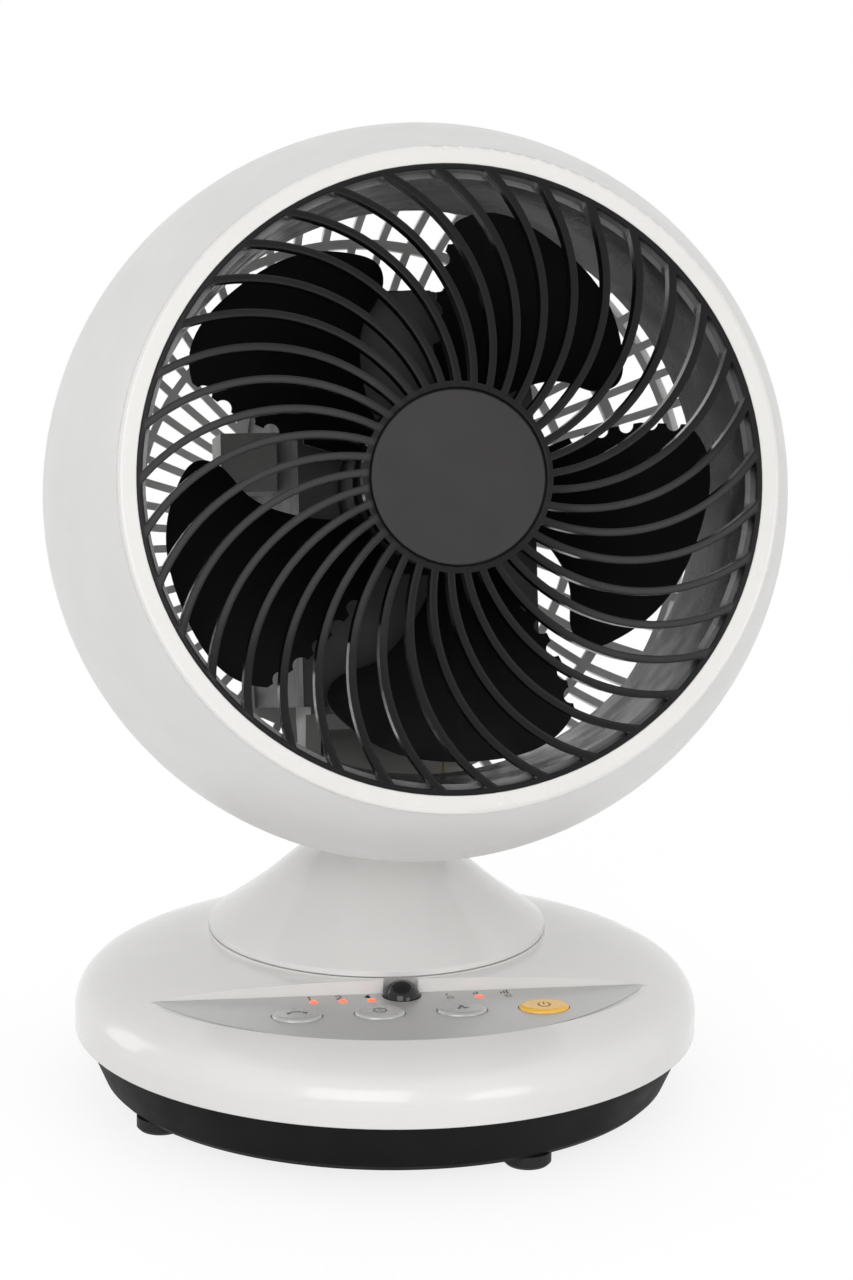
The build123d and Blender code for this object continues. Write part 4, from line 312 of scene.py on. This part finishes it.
def rising_bars(count, x, y):
    """Bars side by side, each taller than the one before, about a place."""
    foot = y - BAR_HEIGHTS[-1] / 2
    bars = []
    for bar in range(count):
        bar_x = x + (bar - (count - 1) / 2) * BAR_STEP
        bars.append(stroke([(bar_x, foot), (bar_x, foot + BAR_HEIGHTS[bar])], BAR_WIDTH))
    return bars


def swing_sign(x, y):
    """Bow with an arrowhead at each end."""
    bow = stroke(arc(x, y - SWING_DROP, SWING_WIDE, SWING_HIGH, 25, 155), SIGN_STROKE)
    heads = [[(x + side * hx, y + hy) for hx, hy in ARROW_HEAD] for side in (-1, 1)]
    return [bow, *heads]


def clock_sign(x, y):
    """Ring with two hands. The ring stops a degree short of closing."""
    ring = stroke(arc(x, y, CLOCK_R, CLOCK_R, 90, 449, 40), SIGN_STROKE)
    hands = stroke([(x, y + MINUTE_HAND), (x, y), (x + HOUR_HAND, y)], HAND_STROKE)
    return [ring, hands]


def fan_sign(x, y):
    """Three leaning petals round a middle."""
    petals = []
    for turn in PETAL_TURNS:
        out, lean = math.radians(turn), math.radians(turn + PETAL_LEAN)
        cx, cy = x + PETAL_OUT * math.cos(out), y + PETAL_OUT * math.sin(out)
        cos, sin = math.cos(lean), math.sin(lean)
        oval = arc(0, 0, PETAL_LONG, PETAL_WIDE, 0, 345, 23)
        petals.append([(cx + px * cos - py * sin, cy + px * sin + py * cos) for px, py in oval])
    return petals


def power_sign(x, y):
    """Ring open at the top, with a line through the gap."""
    ring = stroke(arc(x, y - POWER_DROP, POWER_R, POWER_R, 125, 415, 36), SIGN_STROKE)
    return [ring, stroke([(x, y + POWER_LINE), (x, y)], SIGN_STROKE)]


for step, text in zip((-1, 0, 1), "124"):
    mark_x = TIMER_ROW.x + step * LED_PITCH + MARK_SHIFT
    mark(f"timer_digit_{text}", digit(text, mark_x, MARK_ROW_Y), PANEL_TOP, "base")

for step, count in zip((-1, 0, 1), (1, 2, 3)):
    mark_x = SPEED_ROW.x + step * LED_PITCH + MARK_SHIFT
    mark(f"speed_bars_{count}", rising_bars(count, mark_x, MARK_ROW_Y), PANEL_TOP, "base")

for name, sign, node, body in (
    ("swing_sign", swing_sign, "osc_button", "oscillation_key"),
    ("clock_sign", clock_sign, "timer_button", "timer_key"),
    ("fan_sign", fan_sign, "speed_button", "speed_key"),
    ("power_sign", power_sign, "power_button", "power_key"),
):
    key = middle(node)
    mark(name, sign(key.x, key.y), KEY_TOP, body)

# ---------------------------------------------------------------- studio
# Name, place, width, height and power of each studio lamp, in metres and watts.
LAMPS = (
    ("key", (-0.7, -2.1, 0.9), 1.5, 1.2, 14.5),
    ("fill", (1.2, -1.9, 0.5), 0.9, 0.8, 5.5),
    ("top", (0.2, 0.3, 2.0), 1.2, 0.8, 3.0),
    ("side", (-1.9, 1.0, 0.7), 0.8, 1.0, 4.0),
)
LIT_HEIGHT = 0.2
HALF_FLOOR = 12.0
FADE_START = 0.55
FADE_END = 1.0
FLOOR_GLOW = 0.72
FLOOR_LIGHT = 1.13
WORLD_LIGHT = 0.62
WHITE = (1.0, 1.0, 1.0, 1.0)


def area_light(name, place, width, height, power):
    """Rectangular lamp at a place, turned to the fan's middle."""
    data = bpy.data.lights.new(name, "AREA")
    data.shape = "RECTANGLE"
    data.size = width
    data.size_y = height
    data.energy = power
    lamp = bpy.data.objects.new(name, data)
    bpy.context.scene.collection.objects.link(lamp)
    aim = BASE_CENTRE + Vector((0.0, 0.0, LIT_HEIGHT))
    lamp.location = place
    lamp.rotation_mode = "QUATERNION"
    lamp.rotation_quaternion = (aim - Vector(place)).to_track_quat("-Z", "Y")


def backdrop_rays(tree):
    """1 for rays that show the backdrop: from the camera, off gloss and through clear stuff."""
    rays = tree.nodes.new("ShaderNodeLightPath")
    shows = rays.outputs["Is Camera Ray"]
    for kind in ("Is Glossy Ray", "Is Transmission Ray"):
        either = tree.nodes.new("ShaderNodeMath")
        either.operation = "MAXIMUM"
        tree.links.new(shows, either.inputs[0])
        tree.links.new(rays.outputs[kind], either.inputs[1])
        shows = either.outputs["Value"]
    return shows


def mix_shaders(tree, first, second):
    """Mix of two shaders, its factor still to be set."""
    node = tree.nodes.new("ShaderNodeMixShader")
    tree.links.new(first, node.inputs[1])
    tree.links.new(second, node.inputs[2])
    return node


def background(tree, strength):
    """White world light of a given strength."""
    node = tree.nodes.new("ShaderNodeBackground")
    node.inputs["Color"].default_value = WHITE
    node.inputs["Strength"].default_value = strength
    return node.outputs["Background"]


def floor_material():
    """Plain pale paint that backdrop rays see lifted towards white and faded out far away.

    Only the fan's soft shadow is left to see, and the floor has no edge against the backdrop.
    """
    mat = finish("floor_white", (0.85, 0.85, 0.85), 0.6, mottle_and_reflection=0.004, patch_scale=3.0,
                 grain=0.0)
    tree = mat.node_tree
    paint = next(n for n in tree.nodes if n.type == "BSDF_PRINCIPLED").outputs["BSDF"]
    surface = next(n for n in tree.nodes if n.type == "OUTPUT_MATERIAL").inputs["Surface"]

    light = tree.nodes.new("ShaderNodeEmission")
    light.inputs["Strength"].default_value = FLOOR_LIGHT
    lifted = mix_shaders(tree, paint, light.outputs["Emission"])
    lifted.inputs["Fac"].default_value = FLOOR_GLOW

    place = tree.nodes.new("ShaderNodeTexCoord")
    distance = tree.nodes.new("ShaderNodeVectorMath")
    distance.operation = "LENGTH"
    tree.links.new(place.outputs["Object"], distance.inputs[0])
    clear = tree.nodes.new("ShaderNodeBsdfTransparent")
    faded = mix_shaders(tree, lifted.outputs["Shader"], clear.outputs["BSDF"])
    fade = spread(tree, distance.outputs["Value"], 0.0, 1.0, FADE_START, FADE_END)
    tree.links.new(fade, faded.inputs["Fac"])

    seen = mix_shaders(tree, paint, faded.outputs["Shader"])
    tree.links.new(backdrop_rays(tree), seen.inputs["Fac"])
    tree.links.new(seen.outputs["Shader"], surface)
    return mat


def make_floor():
    """Square floor under the fan."""
    mesh = bpy.data.meshes.new("floor")
    corners = [(-1, -1), (1, -1), (1, 1), (-1, 1)]
    mesh.from_pydata([(x * HALF_FLOOR, y * HALF_FLOOR, 0) for x, y in corners], [], [(0, 1, 2, 3)])
    mesh.materials.append(floor_material())
    floor = bpy.data.objects.new("floor", mesh)
    bpy.context.scene.collection.objects.link(floor)


def make_world():
    """Even pale light all round, which backdrop rays see as plain white."""
    world = bpy.data.worlds.new("studio")
    bpy.context.scene.world = world
    world.use_nodes = True
    tree = world.node_tree
    tree.nodes.clear()
    output = tree.nodes.new("ShaderNodeOutputWorld")
    choose = mix_shaders(tree, background(tree, WORLD_LIGHT), background(tree, 1.0))
    tree.links.new(backdrop_rays(tree), choose.inputs["Fac"])
    tree.links.new(choose.outputs["Shader"], output.inputs["Surface"])


for lamp in LAMPS:
    area_light(*lamp)
make_floor()
make_world()

# ---------------------------------------------------------------- camera
# The camera was fitted to the photograph: the aim is measured from the base's centre.
AIM = Vector((0.01373, -0.00216, 0.17768))
DISTANCE = 1.5
LENS = 111.19
PITCH = math.radians(13.94)
HEADING = math.radians(8.79)
ROLL = math.radians(0.838)

back = Vector((
    -math.sin(HEADING) * math.cos(PITCH),
    -math.cos(HEADING) * math.cos(PITCH),
    math.sin(PITCH),
))
camera_data = bpy.data.cameras.new("camera")
camera_data.lens = LENS
camera = bpy.data.objects.new("camera", camera_data)
bpy.context.scene.collection.objects.link(camera)
camera.location = BASE_CENTRE + AIM + back * DISTANCE
camera.rotation_mode = "QUATERNION"
camera.rotation_quaternion = (-back).to_track_quat("-Z", "Y")
camera.rotation_quaternion.rotate(Quaternion(back, ROLL))
bpy.context.scene.camera = camera
bpy.context.scene.view_settings.view_transform = "Standard"
